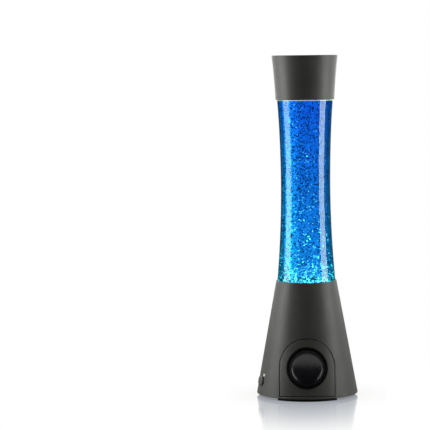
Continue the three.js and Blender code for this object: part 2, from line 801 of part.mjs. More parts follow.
// The strap's side view, drawn in X and Z, then given its width along Y.
function makeBracket() {
  const footTop = bracketFootBottom + bracketThickness;
  const outerX = bracketHalfSpan + bracketFootLength;
  const innerX = bracketHalfSpan - bracketThickness;
  const rightSide = [
    [innerX, bracketDeckBottom], [innerX, bracketFootBottom], [outerX, bracketFootBottom],
    [outerX, footTop], [bracketHalfSpan, footTop], [bracketHalfSpan, holderBottomHeight],
  ];
  const leftSide = rightSide.map(([x, z]) => [-x, z]).reverse();
  const outline = new THREE.Shape([...rightSide, ...leftSide].map(([x, z]) => new THREE.Vector2(x, z)));
  const upright = new THREE.Matrix4().makeRotationX(Math.PI / 2);
  const strap = extruded(outline, -bracketWidth / 2, bracketWidth / 2, upright);
  const nippleHole = rod(nippleRadius + fit, bracketDeckBottom - overrun, holderBottomHeight + overrun,
    smallSegments);
  const footHoles = [-1, 1].map((side) => rod(screwHoleRadius, bracketFootBottom - overrun,
    footTop + overrun, screwSegments, at(side * bracketScrewX, 0)));
  piece('lamp_bracket', cut(strap, nippleHole, ...footHoles), finishes.steel);
  [-1, 1].forEach((side, i) => {
    addScrew(`bracket_screw_${i + 1}`, bracketScrewLength, at(side * bracketScrewX, 0, footTop), true);
  });
}

function makeHolder() {
  const mouth = bulbTipHeight + bulbCapLength - holderMouthDrop;
  const boreRadius = bulbCapRadius + fit;
  const contactTop = bulbTipHeight - fit;
  const web = contactTop - contactThickness;
  const neckTopHeight = holderBottomHeight + holderNeckHeight;
  const nippleTop = holderBottomHeight + nippleBoreDepth - fit;
  const nippleBottom = holderBottomHeight - nippleDrop;
  piece('lamp_holder', turned([
    [0, holderBottomHeight + nippleBoreDepth], [nippleRadius + fit, holderBottomHeight + nippleBoreDepth],
    [nippleRadius + fit, holderBottomHeight], [holderNeckRadius, holderBottomHeight],
    [holderNeckRadius, neckTopHeight], [holderRadius, neckTopHeight + holderBevel],
    [holderRadius, mouth], [boreRadius, mouth], [boreRadius, web], [0, web],
  ], smallSegments), finishes.ceramic);
  piece('holder_contact', rod(contactRadius, web, contactTop, smallSegments), finishes.brass);
  piece('lamp_nipple', tube(nippleBore, nippleRadius, nippleBottom, nippleTop, smallSegments),
    finishes.brass);
  const nut = cut(
    rod(nutRadius, bracketDeckBottom - nutThickness, bracketDeckBottom, nutSides),
    rod(nippleRadius + fit, bracketDeckBottom - nutThickness - overrun, bracketDeckBottom + overrun,
      smallSegments),
  );
  piece('nipple_nut', nut, finishes.steel);
}

// The reflector bulb's outline from the neck to the crown: shares of its glass height and radius.
const bulbHeightShares = [0, 0.12, 0.29, 0.5, 0.67, 0.78, 0.84, 0.91, 0.97, 1];
const bulbRadiusShares = [0.36, 0.38, 0.53, 0.77, 0.95, 1, 0.985, 0.87, 0.6, 0.25];

function makeBulb() {
  const capTop = bulbTipHeight + bulbCapLength;
  const glassBottom = capTop + fit;
  const glassHeight = bulbTop - glassBottom;
  const outline = (inset) => bulbHeightShares.map((share, i) => [
    bulbRadius * bulbRadiusShares[i] - inset,
    glassBottom + (glassHeight - inset) * share,
  ]);
  piece('bulb_envelope', turned([
    [0, bulbTop], ...outline(0).reverse(), ...outline(bulbWall), [0, bulbTop - bulbWall],
  ], smallSegments), finishes.frosted);

  const threadBottom = bulbTipHeight + bulbTipLength;
  const pitch = (capTop - threadBottom) / (threadTurns + 0.5);
  const thread = Array.from({ length: threadTurns }, (_, i) => {
    const low = threadBottom + pitch * i;
    return [
      [bulbCapRadius - threadDepth, low], [bulbCapRadius, low + pitch / 2],
    ];
  }).flat();
  piece('bulb_cap', turned([
    [0, bulbTipHeight], [bulbTipRadius, bulbTipHeight], ...thread,
    [bulbCapRadius - threadDepth, threadBottom + pitch * threadTurns],
    [bulbCapRadius, capTop], [0, capTop],
  ], smallSegments), finishes.brass);

  const stemTop = capTop + stemLength;
  const post = rod(stemRadius, capTop, stemTop, screwSegments);
  const loop = new THREE.CatmullRomCurve3([
    new THREE.Vector3(-stemRadius / 2, 0, stemTop - stemRadius),
    new THREE.Vector3(-filamentHalfWidth, 0, stemTop + filamentRise / 2),
    new THREE.Vector3(0, 0, stemTop + filamentRise),
    new THREE.Vector3(filamentHalfWidth, 0, stemTop + filamentRise / 2),
    new THREE.Vector3(stemRadius / 2, 0, stemTop - stemRadius),
  ]);
  piece('bulb_filament', join(post, along(loop, filamentWire, leadSteps)), finishes.ceramic);
}

// A round wire or lead that follows a curve.
function along(path, radius, steps) {
  const section = new THREE.Shape(Array.from({ length: leadSides }, (_, i) => {
    const angle = i * 2 * Math.PI / leadSides;
    return new THREE.Vector2(radius * Math.cos(angle), radius * Math.sin(angle));
  }));
  return solidOf(new THREE.ExtrudeGeometry(section, { steps, extrudePath: path }));
}

// The loudspeaker's parts stack backwards from the floor of the panel's cup.
function makeSpeaker() {
  const flangeBack = -cupDepth + fit;
  const flangeFront = flangeBack + flangeThickness;
  const basketBack = flangeBack - basketDepth;
  const lipBottom = flangeFront + fit;
  const lipTop = lipBottom + surroundThickness;
  const ringBack = lipTop + fit;
  piece('speaker_trim_ring', turnedRing([
    [ringInnerRadius, ringBack], [ringOuterRadius, ringBack],
    ...arc(ringOuterRadius - ringEdgeRound, ringProud - ringEdgeRound, ringEdgeRound, 0, 90),
    ...arc(ringInnerRadius + ringEdgeRound, ringProud - ringEdgeRound, ringEdgeRound, 90, 180),
  ], ringSegments), finishes.blackPlastic, speakerFrame);

  const slope = (basketRadius - basketRearRadius) / basketDepth;
  const basketInner = (height) => basketRadius - basketWall - (flangeBack - height) * slope;
  const basket = turnedRing([
    [basketRadius - basketWall, flangeFront], [flangeRadius, flangeFront], [flangeRadius, flangeBack],
    [basketRadius, flangeBack], [basketRearRadius, basketBack], [basketHoleRadius, basketBack],
    [basketHoleRadius, basketBack + basketWall],
    [basketInner(basketBack + basketWall), basketBack + basketWall],
  ], ringSegments);
  const windowMiddle = (flangeBack + basketBack) / 2;
  const windows = Array.from({ length: windowCount }, (_, i) => block(
    [basketHoleRadius, basketRadius + overrun], [-windowWidth / 2, windowWidth / 2],
    [windowMiddle - windowHeight / 2, windowMiddle + windowHeight / 2],
    new THREE.Matrix4().makeRotationZ((i + 0.5) * 2 * Math.PI / windowCount)));
  piece('speaker_basket', cut(basket, ...windows), finishes.steel, speakerFrame);

  const rollMiddle = (surroundInnerRadius + ringInnerRadius - fit) / 2;
  const rollHalf = (ringInnerRadius - fit - surroundInnerRadius) / 2;
  const roll = (radius, from, to) => arc(0, 0, 1, from, to, bendSteps).map(([c, s]) => [
    rollMiddle + radius * c, lipTop + surroundRise * s * radius / rollHalf,
  ]);
  piece('speaker_surround', turnedRing([
    [surroundInnerRadius - surroundInnerLip, lipBottom], [surroundInnerRadius - surroundInnerLip, lipTop],
    ...roll(rollHalf, 180, 0), [ringInnerRadius + surroundOuterLip, lipTop],
    [ringInnerRadius + surroundOuterLip, lipBottom], ...roll(rollHalf - surroundThickness, 0, 180)
      .map(([radius, height]) => [radius, height - surroundThickness]),
  ], ringSegments), finishes.blackRubber, speakerFrame);

  // The cone is a dish, hollow to the front: nearly flat in the middle and steep at its rim.
  const dish = (radius) => flangeFront - coneDepth * (1 - (radius / coneRimRadius) ** coneFlatness);
  const dishLine = Array.from({ length: dishSteps + 1 }, (_, i) => {
    const radius = coneRimRadius * Math.sqrt(i / dishSteps);
    return [radius, dish(radius)];
  });
  const coneBack = dish(0) - coneThickness;
  piece('speaker_cone', turned([
    ...dishLine, ...dishLine.map(([radius, height]) => [radius, height - coneThickness]).reverse(),
  ], ringSegments), finishes.glossBlack, speakerFrame);

  const coilTop = coneBack - fit;
  piece('voice_coil', tube(coilRadius - coilWall, coilRadius, coilTop - coilLength, coilTop, smallSegments),
    finishes.copper, speakerFrame);

  const spiderLevel = coneBack - spiderDrop;
  const spiderInner = coilRadius + coilGap;
  const spiderOuter = basketInner(spiderLevel - spiderWaveHeight) - fit;
  const crests = Array.from({ length: spiderWaves * 2 + 1 }, (_, i) => [
    spiderInner + (spiderOuter - spiderInner) * i / (spiderWaves * 2),
    spiderLevel + (i % 2 ? spiderWaveHeight : 0),
  ]);
  piece('speaker_spider', turnedRing([
    ...crests, ...crests.map(([radius, height]) => [radius, height - spiderThickness]).reverse(),
  ], smallSegments), finishes.amberCloth, speakerFrame);

  const plateTop = speakerBack;
  const plateBottom = plateTop - topPlateThickness;
  const magnetTop = plateBottom - fit;
  const magnetBottom = magnetTop - magnetThickness;
  const yokeTop = magnetBottom - fit;
  const poleRadius = coilRadius - coilWall - coilGap;
  piece('speaker_top_plate', tube(coilRadius + coilGap, topPlateRadius, plateBottom, plateTop,
    smallSegments), finishes.steel, speakerFrame);
  piece('speaker_magnet', tube(magnetHoleRadius, magnetRadius, magnetBottom, magnetTop, smallSegments),
    finishes.ferrite, speakerFrame);
  piece('speaker_yoke', turned([
    [0, yokeTop - yokeThickness], [yokeRadius, yokeTop - yokeThickness], [yokeRadius, yokeTop],
    [poleRadius, yokeTop], [poleRadius, plateTop], [0, plateTop],
  ], smallSegments), finishes.steel, speakerFrame);
  piece('speaker_terminals', block([-terminalWidth / 2, terminalWidth / 2],
    [-topPlateRadius - fit - terminalHeight, -topPlateRadius - fit],
    [plateTop - terminalThickness, plateTop]), finishes.amberCloth, speakerFrame);
}

function makeButton() {
  const hole = -buttonFlangeDepth - buttonFlangeThickness;
  const faceTop = buttonProud - buttonCrown;
  const face = new THREE.ExtrudeGeometry(stadium(buttonWidth, buttonTallness), {
    depth: faceTop + buttonFlangeDepth,
    bevelThickness: buttonCrown,
    bevelSize: buttonCrown,
    bevelOffset: -buttonCrown,
    bevelSegments: 1,
    curveSegments: endSteps,
  });
  const button = join(
    solidOf(face.translate(0, 0, -buttonFlangeDepth)),
    extruded(stadium(buttonFlangeWidth, buttonFlangeTallness), hole, -buttonFlangeDepth),
    rod(buttonPostRadius, hole - buttonPostLength, hole + buttonFlangeThickness / 2, smallSegments),
  );
  piece('side_button', button, finishes.satinPlastic, buttonFrame);

  const plungerTop = hole - buttonPostLength - fit;
  const switchTop = plungerTop - plungerShown;
  const switchBottom = switchTop - switchHeight;
  const well = plungerTop - plungerLength - buttonTravel - fit;
  const half = [-switchSide / 2, switchSide / 2];
  piece('switch_plunger', rod(plungerRadius, plungerTop - plungerLength, plungerTop, smallSegments),
    finishes.blackPlastic, buttonFrame);
  piece('button_switch', cut(
    block(half, half, [switchBottom, switchTop]),
    rod(plungerRadius + fit, well, switchTop + overrun, smallSegments),
  ), finishes.blackPlastic, buttonFrame);

  const boardBack = boardSurface - buttonBoardThickness;
  const bossHoles = boardBosses.map(([x, y]) => rod(screwHoleRadius, boardBack - overrun,
    boardSurface + overrun, screwSegments, at(x, y)));
  piece('button_board', cut(block([-buttonBoardLeft, buttonBoardRight],
    [-buttonBoardBelow, buttonBoardAbove], [boardBack, boardSurface]), ...bossHoles),
  finishes.board, buttonFrame);
  boardBosses.forEach(([x, y], i) => {
    const place = inFrame(buttonFrame, x, y).multiply(at(0, 0, boardBack - fit));
    addScrew(`button_board_screw_${i + 1}`, boardScrewLength, place);
  });

  const ledTop = -indicatorLength - indicatorSink - fit;
  const led = piece('status_led', rod(ledRadius, boardSurface + fit, ledTop, smallSegments),
    finishes.whitePlastic, buttonFrame);
  led.position.set(indicatorX, indicatorY, 0);
  const flangeTop = -indicatorFlangeDepth;
  const flangeBottom = flangeTop - indicatorFlangeThickness;
  const lens = piece('indicator_lens', turned([
    [0, -indicatorSink - indicatorLength], [indicatorRadius, -indicatorSink - indicatorLength],
    [indicatorRadius, flangeBottom], [indicatorFlangeRadius, flangeBottom],
    [indicatorFlangeRadius, flangeTop], [indicatorRadius, flangeTop],
    [indicatorRadius, -indicatorSink], [0, -indicatorSink],
  ], smallSegments), finishes.whitePlastic, buttonFrame);
  lens.position.set(indicatorX, indicatorY, 0);
}

function makeInlet() {
  const flangeTop = fit + inletFlangeThickness;
  const body = turned([
    [0, -inletDepth], [inletBodyRadius, -inletDepth], [inletBodyRadius, fit],
    [inletFlangeRadius, fit], [inletFlangeRadius, flangeTop], [inletBoreRadius, flangeTop],
    [inletBoreRadius, flangeTop - inletBoreDepth], [inletPinRadius, flangeTop - inletBoreDepth],
    [inletPinRadius, flangeTop - inletPinSink], [0, flangeTop - inletPinSink],
  ], smallSegments);
  const tabs = [-1, 1].map((side) => block([-inletTabWidth / 2, inletTabWidth / 2],
    [side * inletTabOffset - inletTabThickness / 2, side * inletTabOffset + inletTabThickness / 2],
    [-inletDepth - inletTabLength, -inletDepth + inletTabThickness]));
  piece('power_inlet', join(body, ...tabs), finishes.blackPlastic, inletFrame);
  const nut = cut(
    rod(inletNutRadius, -inletNutDepth - inletNutThickness, -inletNutDepth, nutSides),
    rod(inletBodyRadius + fit, -inletDepth, 0, smallSegments),
  );
  piece('power_inlet_nut', nut, finishes.steel, inletFrame);
}

function makeAudioBoard() {
  const holes = [[-1, boardFront + standoffEdge], [1, boardBack - standoffEdge]];
  const plate = cut(
    block([-boardHalfWidth, boardHalfWidth], [boardFront, boardBack], [boardBottom, boardTop]),
    ...holes.map(([side, y]) => rod(screwHoleRadius, boardBottom - overrun, boardTop + overrun,
      screwSegments, at(side * standoffX, y))),
  );
  piece('audio_board', plate, finishes.board);
  holes.forEach(([side, y], i) => {
    addScrew(`audio_board_screw_${i + 1}`, boardScrewLength, at(side * standoffX, y, boardTop), true);
  });
  const spanAbout = (centre, width) => [centre - width / 2, centre + width / 2];
  piece('wireless_module', block(spanAbout(moduleX, moduleWidth),
    spanAbout(boardFront + moduleInset, moduleLength), [boardTop, boardTop + moduleThickness]),
  finishes.steel);
  piece('amplifier_chip', block(spanAbout(chipX, chipWidth), spanAbout(boardFront + chipInset, chipLength),
    [boardTop, boardTop + chipThickness]), finishes.blackPlastic);
  piece('filter_capacitor', rod(capacitorRadius, boardTop, boardTop + capacitorHeight, smallSegments,
    at(capacitorX, boardFront + capacitorInset)), finishes.blackPlastic);
}

// A lead's last stretch: over a low hump and straight down onto the board.
function landing(x, y, fromX, fromY) {
  const end = boardTop + fit;
  return [
    [(x + fromX) / 2, (y + fromY) / 2, end + leadHump], [x, y, end + leadLandingStep], [x, y, end],
  ];
}

function addLead(name, points, radius) {
  const path = new THREE.CatmullRomCurve3(points.map((point) => new THREE.Vector3(...point)));
  piece(name, along(path, radius, leadSteps), finishes.redInsulation);
}

function pointInFrame(frame, x, y, z) {
  return new THREE.Vector3(x, y, z).applyMatrix4(frame.matrixWorld).toArray();
}

function makeLeads() {
  const runLevel = coverTop + leadRun;
  const terminalY = -topPlateRadius - fit - terminalHeight + leadRadius;
  const terminalBack = speakerBack - terminalThickness - fit;
  addLead('speaker_lead', [
    pointInFrame(speakerFrame, 0, terminalY, terminalBack),
    pointInFrame(speakerFrame, 0, terminalY, terminalBack - leadLandingStep),
    pointInFrame(speakerFrame, 0, terminalY - leadRadius, terminalBack - leadLandingStep - leadHump),
    [speakerLeadX, -holderRadius, runLevel + leadHump],
    [speakerLeadX, 0, runLevel],
    ...landing(speakerLeadX, boardFront + speakerLeadInset, speakerLeadX, boardFront - leadHump),
  ], leadRadius);
  addLead('lamp_lead', [
    [0, 0, holderBottomHeight + nippleBoreDepth - fit],
    [0, 0, holderBottomHeight - nippleDrop],
    ...landing(0, boardFront + lampLeadInset, 0, 0),
  ], lampLeadRadius);
  const inletBack = -inletDepth - inletTabLength - fit;
  addLead('inlet_lead', [
    pointInFrame(inletFrame, 0, -inletTabOffset, inletBack),
    pointInFrame(inletFrame, 0, -inletTabOffset, inletBack - leadLandingStep),
    ...landing(inletLeadX, boardFront + inletLeadInset, 0, boardBack - inletTabLength - inletDepth),
  ], leadRadius);
  const leadStart = boardSurface - buttonBoardThickness - fit;
  addLead('button_lead', [
    pointInFrame(buttonFrame, -buttonLeadStartX, 0, leadStart),
    pointInFrame(buttonFrame, -buttonLeadStartX, 0, leadStart - leadLandingStep),
    [-bracketHalfSpan - bracketFootLength, bracketWidth, runLevel + leadHump],
    ...landing(buttonLeadX, boardFront + buttonLeadInset, -boardHalfWidth - leadHump,
      boardFront + leadHump),
  ], leadRadius);
}

makeHousing();
makeSpeakerPanel();
makeBottleSeat();
makeReflector();
makeCoverAndFeet();
makeBracket();
makeHolder();
makeBulb();
makeSpeaker();
makeButton();
makeInlet();
makeAudioBoard();
makeLeads();
makeBottle();
makeClosure();
makeCap();

export default lamp;
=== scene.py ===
"""The glitter lamp's looks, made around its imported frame: smooth pieces, materials, light and camera."""

import json
import random
from math import acos, atan, atan2, ceil, cos, log, pi, radians, sin, sqrt, tan, tau

import bmesh
import bpy
from mathutils import Matrix, Vector


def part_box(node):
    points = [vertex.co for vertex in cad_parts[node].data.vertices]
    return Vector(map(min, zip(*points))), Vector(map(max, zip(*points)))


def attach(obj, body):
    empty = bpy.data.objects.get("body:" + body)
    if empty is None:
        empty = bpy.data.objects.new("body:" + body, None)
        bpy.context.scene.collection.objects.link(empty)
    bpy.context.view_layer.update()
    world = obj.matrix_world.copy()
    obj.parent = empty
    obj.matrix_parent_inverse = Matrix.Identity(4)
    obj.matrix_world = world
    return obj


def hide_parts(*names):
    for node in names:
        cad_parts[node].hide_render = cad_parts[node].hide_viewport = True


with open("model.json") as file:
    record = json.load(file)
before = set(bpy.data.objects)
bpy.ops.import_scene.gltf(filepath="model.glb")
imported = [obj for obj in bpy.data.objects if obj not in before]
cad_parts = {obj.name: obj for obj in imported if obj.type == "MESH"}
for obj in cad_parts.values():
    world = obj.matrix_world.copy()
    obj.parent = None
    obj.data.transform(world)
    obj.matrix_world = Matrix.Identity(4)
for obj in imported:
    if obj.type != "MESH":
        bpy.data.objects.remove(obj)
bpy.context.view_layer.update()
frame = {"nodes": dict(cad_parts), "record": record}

MM = 0.001

# Camera, where the photograph was taken from. Pixels are of the 430 by 430 photograph.
IMAGE_PIXELS = 430
SENSOR_WIDTH = 36.0
CAMERA_DISTANCE = 2.300
EYE_HEIGHT = 0.3757
FOCAL_PIXELS = 2063.0
LAMP_PIXEL_X = 306.1
EYE_PIXEL_Y = 60.1
CAMERA_ROLL = 0.67

# Light in the studio, as shares of white, and directions as shares of a unit sphere
AMBIENT_STRENGTH = 0.03
ROOM_COLOR = (0.6, 0.7, 1.0)
ROOM_STRENGTH = 0.012
BACKDROP_START = 0.75
BACKDROP_FULL = 1.0
GROUND_START = -0.2
GROUND_FULL = -0.35
FLOOR_REACH = 6.0
FLOOR_FRONT_REACH = 1.05
FLOOR_WHITE = 0.2
FLOOR_GRAIN = 0.8
FLOOR_UNEVENNESS = 0.02
REFLECTION_SHARE = 0.57
REFLECTION_START = 0.06
REFLECTION_END = 0.29
REFLECTION_TINT = (1.0, 0.965, 0.9)
SHADOW_REACH = 0.06
SHADOW_DEPTH = 0.55

# Painted shade on the glass where it is seen side on: a dark blue colour and dimmed reflections, in place
# of the dark room seen through its edges. 0 is face on and 1 is edge on
GLASS_SHADE_START = 0.08
GLASS_SHADE_FULL = 0.55
GLASS_EDGE_SHADE_COLOR = (0.05, 0.36, 0.2)
GLASS_DARK_START = 0.42
GLASS_DARK_FULL = 0.53
GLASS_EDGE_SHADED_GLOSS = (0.02, 0.05, 0.12)

# Materials: how strongly they bend light, and how rough or bright they are
PLASTIC_IOR = 1.48
GLASS_IOR = 1.5
BOTTLE_IOR = 1.62
FLUID_IOR = 1.33
DISH_IOR = 2.2
CLEAR_ROUGHNESS = 0.015
WORN_SHARE = 0.82
WORN_LOW = 0.35
WINDOW_GLOW = 0.4
# Most of a noise texture's values lie between these
NOISE_LOW = 0.3
NOISE_HIGH = 0.7

# Millimetres: tolerances, rounds, and sizes that the frame's boxes don't give
MERGE_DISTANCE = 0.002
FACE_TOLERANCE = 0.08
HEIGHT_TOLERANCE = 0.05
ON_AXIS = 1e-6
NODE_EDGE = 0.15
SLIGHT_ROUND = 0.2
FINE_ROUND = 0.3
SOFT_ROUND = 0.5
BASE_EDGE_ROUND = 0.6
BASE_EDGE_SPREAD = 0.1
RIM_ROUND = 0.4
RIM_RADIUS = 33.7
RIM_DRAW_IN = 0.07
BASE_WALL = 2.4
COLLAR_RADIUS = 32.75
SHELF_TOP = 115.5
SHELF_BOTTOM = 113.0
SHELF_BORE = 22.0
SPEAKER_HEIGHT = 37.0
ARCH_HALF_WIDTH = 30.3
ARCH_DROP = 30.8
ARCH_RISE = 1.6
SEAM_GAP = 0.5
SEAM_ROUND = 0.65
PANEL_INSET = 0.15
PANEL_BACK = 4.3
LIP_FRONT = 2.7
LIP_WIDTH = 3.2
LIP_LEAN = 0.1
CUP_RADIUS = 22.9
CUP_WALL = 1.8
CUP_DEPTH = 8.5
CUP_BACK = 11.0
CUP_EDGE_ROUND = 0.35
CUP_BORE = 19.9
BUTTON_AZIMUTH = 73.0
BUTTON_HEIGHT = 18.0
INLET_AZIMUTH = 180.0
INLET_HEIGHT = 27.0

# Angles, and counts of steps in the meshes
ROUND_STEP = radians(15)
SHARP_ANGLE = radians(32)
SHADING_WEIGHT = 80
NODE_EDGE_ANGLE = radians(40)
FRONT_COLUMNS = 24
SIDE_ROWS = 28
EDGE_STEPS = 5
FACE_STEPS = 8
LIP_STEPS = 4
END_STEPS = 14
BACK_COLUMNS = 68
RING_ROWS = 7
SEGMENTS = 96
LARGE_SEGMENTS = 128
BOTTLE_SEGMENTS = 160
HOLE_SEGMENTS = 32


def span(node):
    """A node's lowest and highest corner, in millimetres."""
    low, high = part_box(node)
    return low / MM, high / MM


def placed(name, data):
    """An object in the scene, of a mesh, a lamp or a camera."""
    thing = bpy.data.objects.new(name, data)
    bpy.context.scene.collection.objects.link(thing)
    return thing


# Meshes


def closed_mesh(name, points, faces):
    """A mesh of one closed surface from points in millimetres, its faces turned outwards."""
    mesh = bpy.data.meshes.new(name)
    mesh.from_pydata([Vector(point) * MM for point in points], [], faces)
    shaped = bmesh.new()
    shaped.from_mesh(mesh)
    bmesh.ops.remove_doubles(shaped, verts=shaped.verts, dist=MERGE_DISTANCE * MM)
    bmesh.ops.recalc_face_normals(shaped, faces=shaped.faces)
    if shaped.calc_volume(signed=True) < 0:
        bmesh.ops.reverse_faces(shaped, faces=shaped.faces)
    shaped.to_mesh(mesh)
    shaped.free()
    return mesh


def smooth(piece):
    """Smooth shading that keeps sharp edges."""
    piece.data.shade_smooth()
    piece.data.set_sharp_from_angle(angle=SHARP_ANGLE)


def add_piece(name, shape, body, slot, node, material=None, even=True):
    """A smooth-shaded piece of points and faces, riding on a body in place of a CAD node."""
    mesh = closed_mesh(name, *shape)
    piece = placed(name, mesh)
    mesh.materials.append(material or made[slot])
    smooth(piece)
    if even:
        weighted = piece.modifiers.new("even shading", "WEIGHTED_NORMAL")
        weighted.keep_sharp = True
        weighted.weight = SHADING_WEIGHT
    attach(piece, body)
    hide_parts(node)
    return piece


def rounded(corners):
    """The points of an outline whose corners are given as (x, y, radius of their round)."""
    points = []
    for i, (x, y, radius) in enumerate(corners):
        here = Vector((x, y))
        if radius == 0:
            points.append(here)
            continue
        before = (Vector(corners[i - 1][:2]) - here).normalized()
        after = (Vector(corners[(i + 1) % len(corners)][:2]) - here).normalized()
        half = before.angle(after) / 2
        centre = here + (before + after).normalized() * radius / sin(half)
        start = here + before * radius / tan(half) - centre
        turn = start.angle_signed(here + after * radius / tan(half) - centre)
        steps = max(2, ceil(abs(turn) / ROUND_STEP))
        for k in range(steps + 1):
            points.append(centre + Matrix.Rotation(-turn * k / steps, 2) @ start)
    return [tuple(point) for point in points]


def lathe(outline, segments=SEGMENTS, place=Matrix.Identity(4)):
    """Points and faces of a solid of revolution about Z. The outline is closed, as (radius, height)."""
    rows = [upright(outline, turn) for turn in spread(0, tau, segments)[:-1]]
    points, faces = grid(rows, close_rows=True)
    axis = {k for k, (radius, _) in enumerate(outline) if radius < ON_AXIS}
    count = len(outline)
    faces = [face for face in faces if not {corner % count for corner in face} <= axis]
    return [place @ Vector(point) for point in points], faces


def grid(rows, close_rows=False, close_columns=True):
    """Points and faces of a sheet given as rows of points."""
    width = len(rows[0])
    points = [point for row in rows for point in row]
    faces = []
    for i in range(len(rows) if close_rows else len(rows) - 1):
        here = i * width
        there = (i + 1) % len(rows) * width
        for k in range(width if close_columns else width - 1):
            after = (k + 1) % width
            faces.append((here + k, here + after, there + after, there + k))
    return points, faces


def joined(*sheets):
    """Several lists of points and faces as one."""
    points = []
    faces = []
    for more_points, more_faces in sheets:
        start = len(points)
        points += more_points
        faces += [tuple(start + corner for corner in face) for face in more_faces]
    return points, faces


def between(first, second, share):
    """The numbers a share of the way from one set of them to another."""
    return [start + (end - start) * share for start, end in zip(first, second)]


def spread(start, end, steps, first=0):
    """Evenly spaced numbers."""
    return [start + (end - start) * i / steps for i in range(first, steps + 1)]


def arc(x, y, radius, start, end, steps, rise=None):
    """Points on an arc between two angles in degrees. An oval one has a rise of its own."""
    return [(x + radius * cos(turn), y + (rise or radius) * sin(turn))
            for turn in spread(radians(start), radians(end), steps)]


def circle(radius, x=0, y=0, steps=HOLE_SEGMENTS):
    return arc(x, y, radius, 0, 360, steps)[:-1]


def upright(outline, turn):
    """The points of an outline of (radius, height) that stands at a turn from the front."""
    return [(radius * sin(turn), -radius * cos(turn), height) for radius, height in outline]


def round_edge(steps=EDGE_STEPS, first=0):
    """A quarter round of radius 1: how far in from its side and down from its top each step is."""
    return [(1 - cos(turn), 1 - sin(turn)) for turn in spread(0, pi / 2, steps, first)]


# The base's cone

base_low, base_high = span("base_housing")
BASE_RADIUS = base_high.x
RIM_HEIGHT = base_high.z
EDGE_HEIGHT = base_low.z + BASE_EDGE_ROUND
CONE_SLOPE = (BASE_RADIUS - RIM_RADIUS) / (RIM_HEIGHT - RIM_ROUND - EDGE_HEIGHT)
CONE_ANGLE = atan(CONE_SLOPE)


def cone_radius(height):
    return BASE_RADIUS - (height - EDGE_HEIGHT) * CONE_SLOPE


def cone_frame(azimuth, height):
    """A frame on the cone's face: Z out of the face, Y up the slope, X level."""
    turn = Matrix.Rotation(-radians(azimuth), 4, "Z")
    place = Matrix.Translation((0, -cone_radius(height), height))
    lean = Matrix.Rotation(pi / 2 - CONE_ANGLE, 4, "X")
    return turn @ place @ lean


speaker_frame = cone_frame(0, SPEAKER_HEIGHT)
button_frame = cone_frame(BUTTON_AZIMUTH, BUTTON_HEIGHT)
inlet_frame = cone_frame(INLET_AZIMUTH, INLET_HEIGHT)


def on_face(x, y, inset):
    """The point of the cone's face, less an inset, at a place in the speaker's frame."""
    cosine = cos(CONE_ANGLE)
    sine = sin(CONE_ANGLE)
    start = speaker_frame @ Vector((x, y, 0))
    reach = cone_radius(start.z) - inset
    second = cosine ** 2 - (CONE_SLOPE * sine) ** 2
    first = 2 * (reach * CONE_SLOPE * sine - start.y * cosine)
    rest = x ** 2 + start.y ** 2 - reach ** 2
    depth = (sqrt(first ** 2 - 4 * second * rest) - first) / (2 * second)
    return speaker_frame @ Vector((x, y, depth))


def border(half, low, high, rows, over):
    """A walk round a frame from its lower left corner, with the given points over its top."""
    heights = spread(low, high, rows)
    points = [(x, low) for x in spread(-half, half, FRONT_COLUMNS)[:-1]]
    points += [(half, height) for height in heights[:-1]] + over
    return points + [(-half, height) for height in heights[:0:-1]]


def arch(grow, drop):
    """The arch's outline, a distance outside its real one, from the lower left corner round."""
    half = ARCH_HALF_WIDTH + grow
    over = arc(0, ARCH_RISE, half, 0, 180, FRONT_COLUMNS * 2)[:-1]
    return border(half, -ARCH_DROP - drop, ARCH_RISE, SIDE_ROWS - FRONT_COLUMNS // 2, over)


def arch_row(grow, inset, drop=None):
    return [on_face(x, y, inset) for x, y in arch(grow, grow if drop is None else drop)]


# The base housing: a turned shell whose front holds a ring of faces round the arch

FRONT_ANGLE = radians(50)
FRONT_TOP = 82.0
CLIMB_HEIGHTS = (FRONT_TOP + FRONT_TOP / 5, FRONT_TOP + FRONT_TOP / 5 * 2)


def front_border():
    """The border of the front's ring of faces, matched point by point to the arch's outline."""
    over = [(turn, FRONT_TOP) for turn in spread(-FRONT_ANGLE, FRONT_ANGLE, FRONT_COLUMNS)[:0:-1]]
    return border(FRONT_ANGLE, EDGE_HEIGHT, FRONT_TOP, SIDE_ROWS, over)


def ring_rows(first_row, inset):
    """Rows of points from a row round the arch out to the front's border."""
    starts = [(atan2(point.x, -point.y), point.z) for point in first_row]
    rows = []
    for step in range(1, RING_ROWS + 1):
        row = []
        for start, end in zip(starts, front_border()):
            turn, height = between(start, end, step / RING_ROWS)
            row += upright([(cone_radius(height) - inset, height)], turn)
        rows.append(row)
    return rows


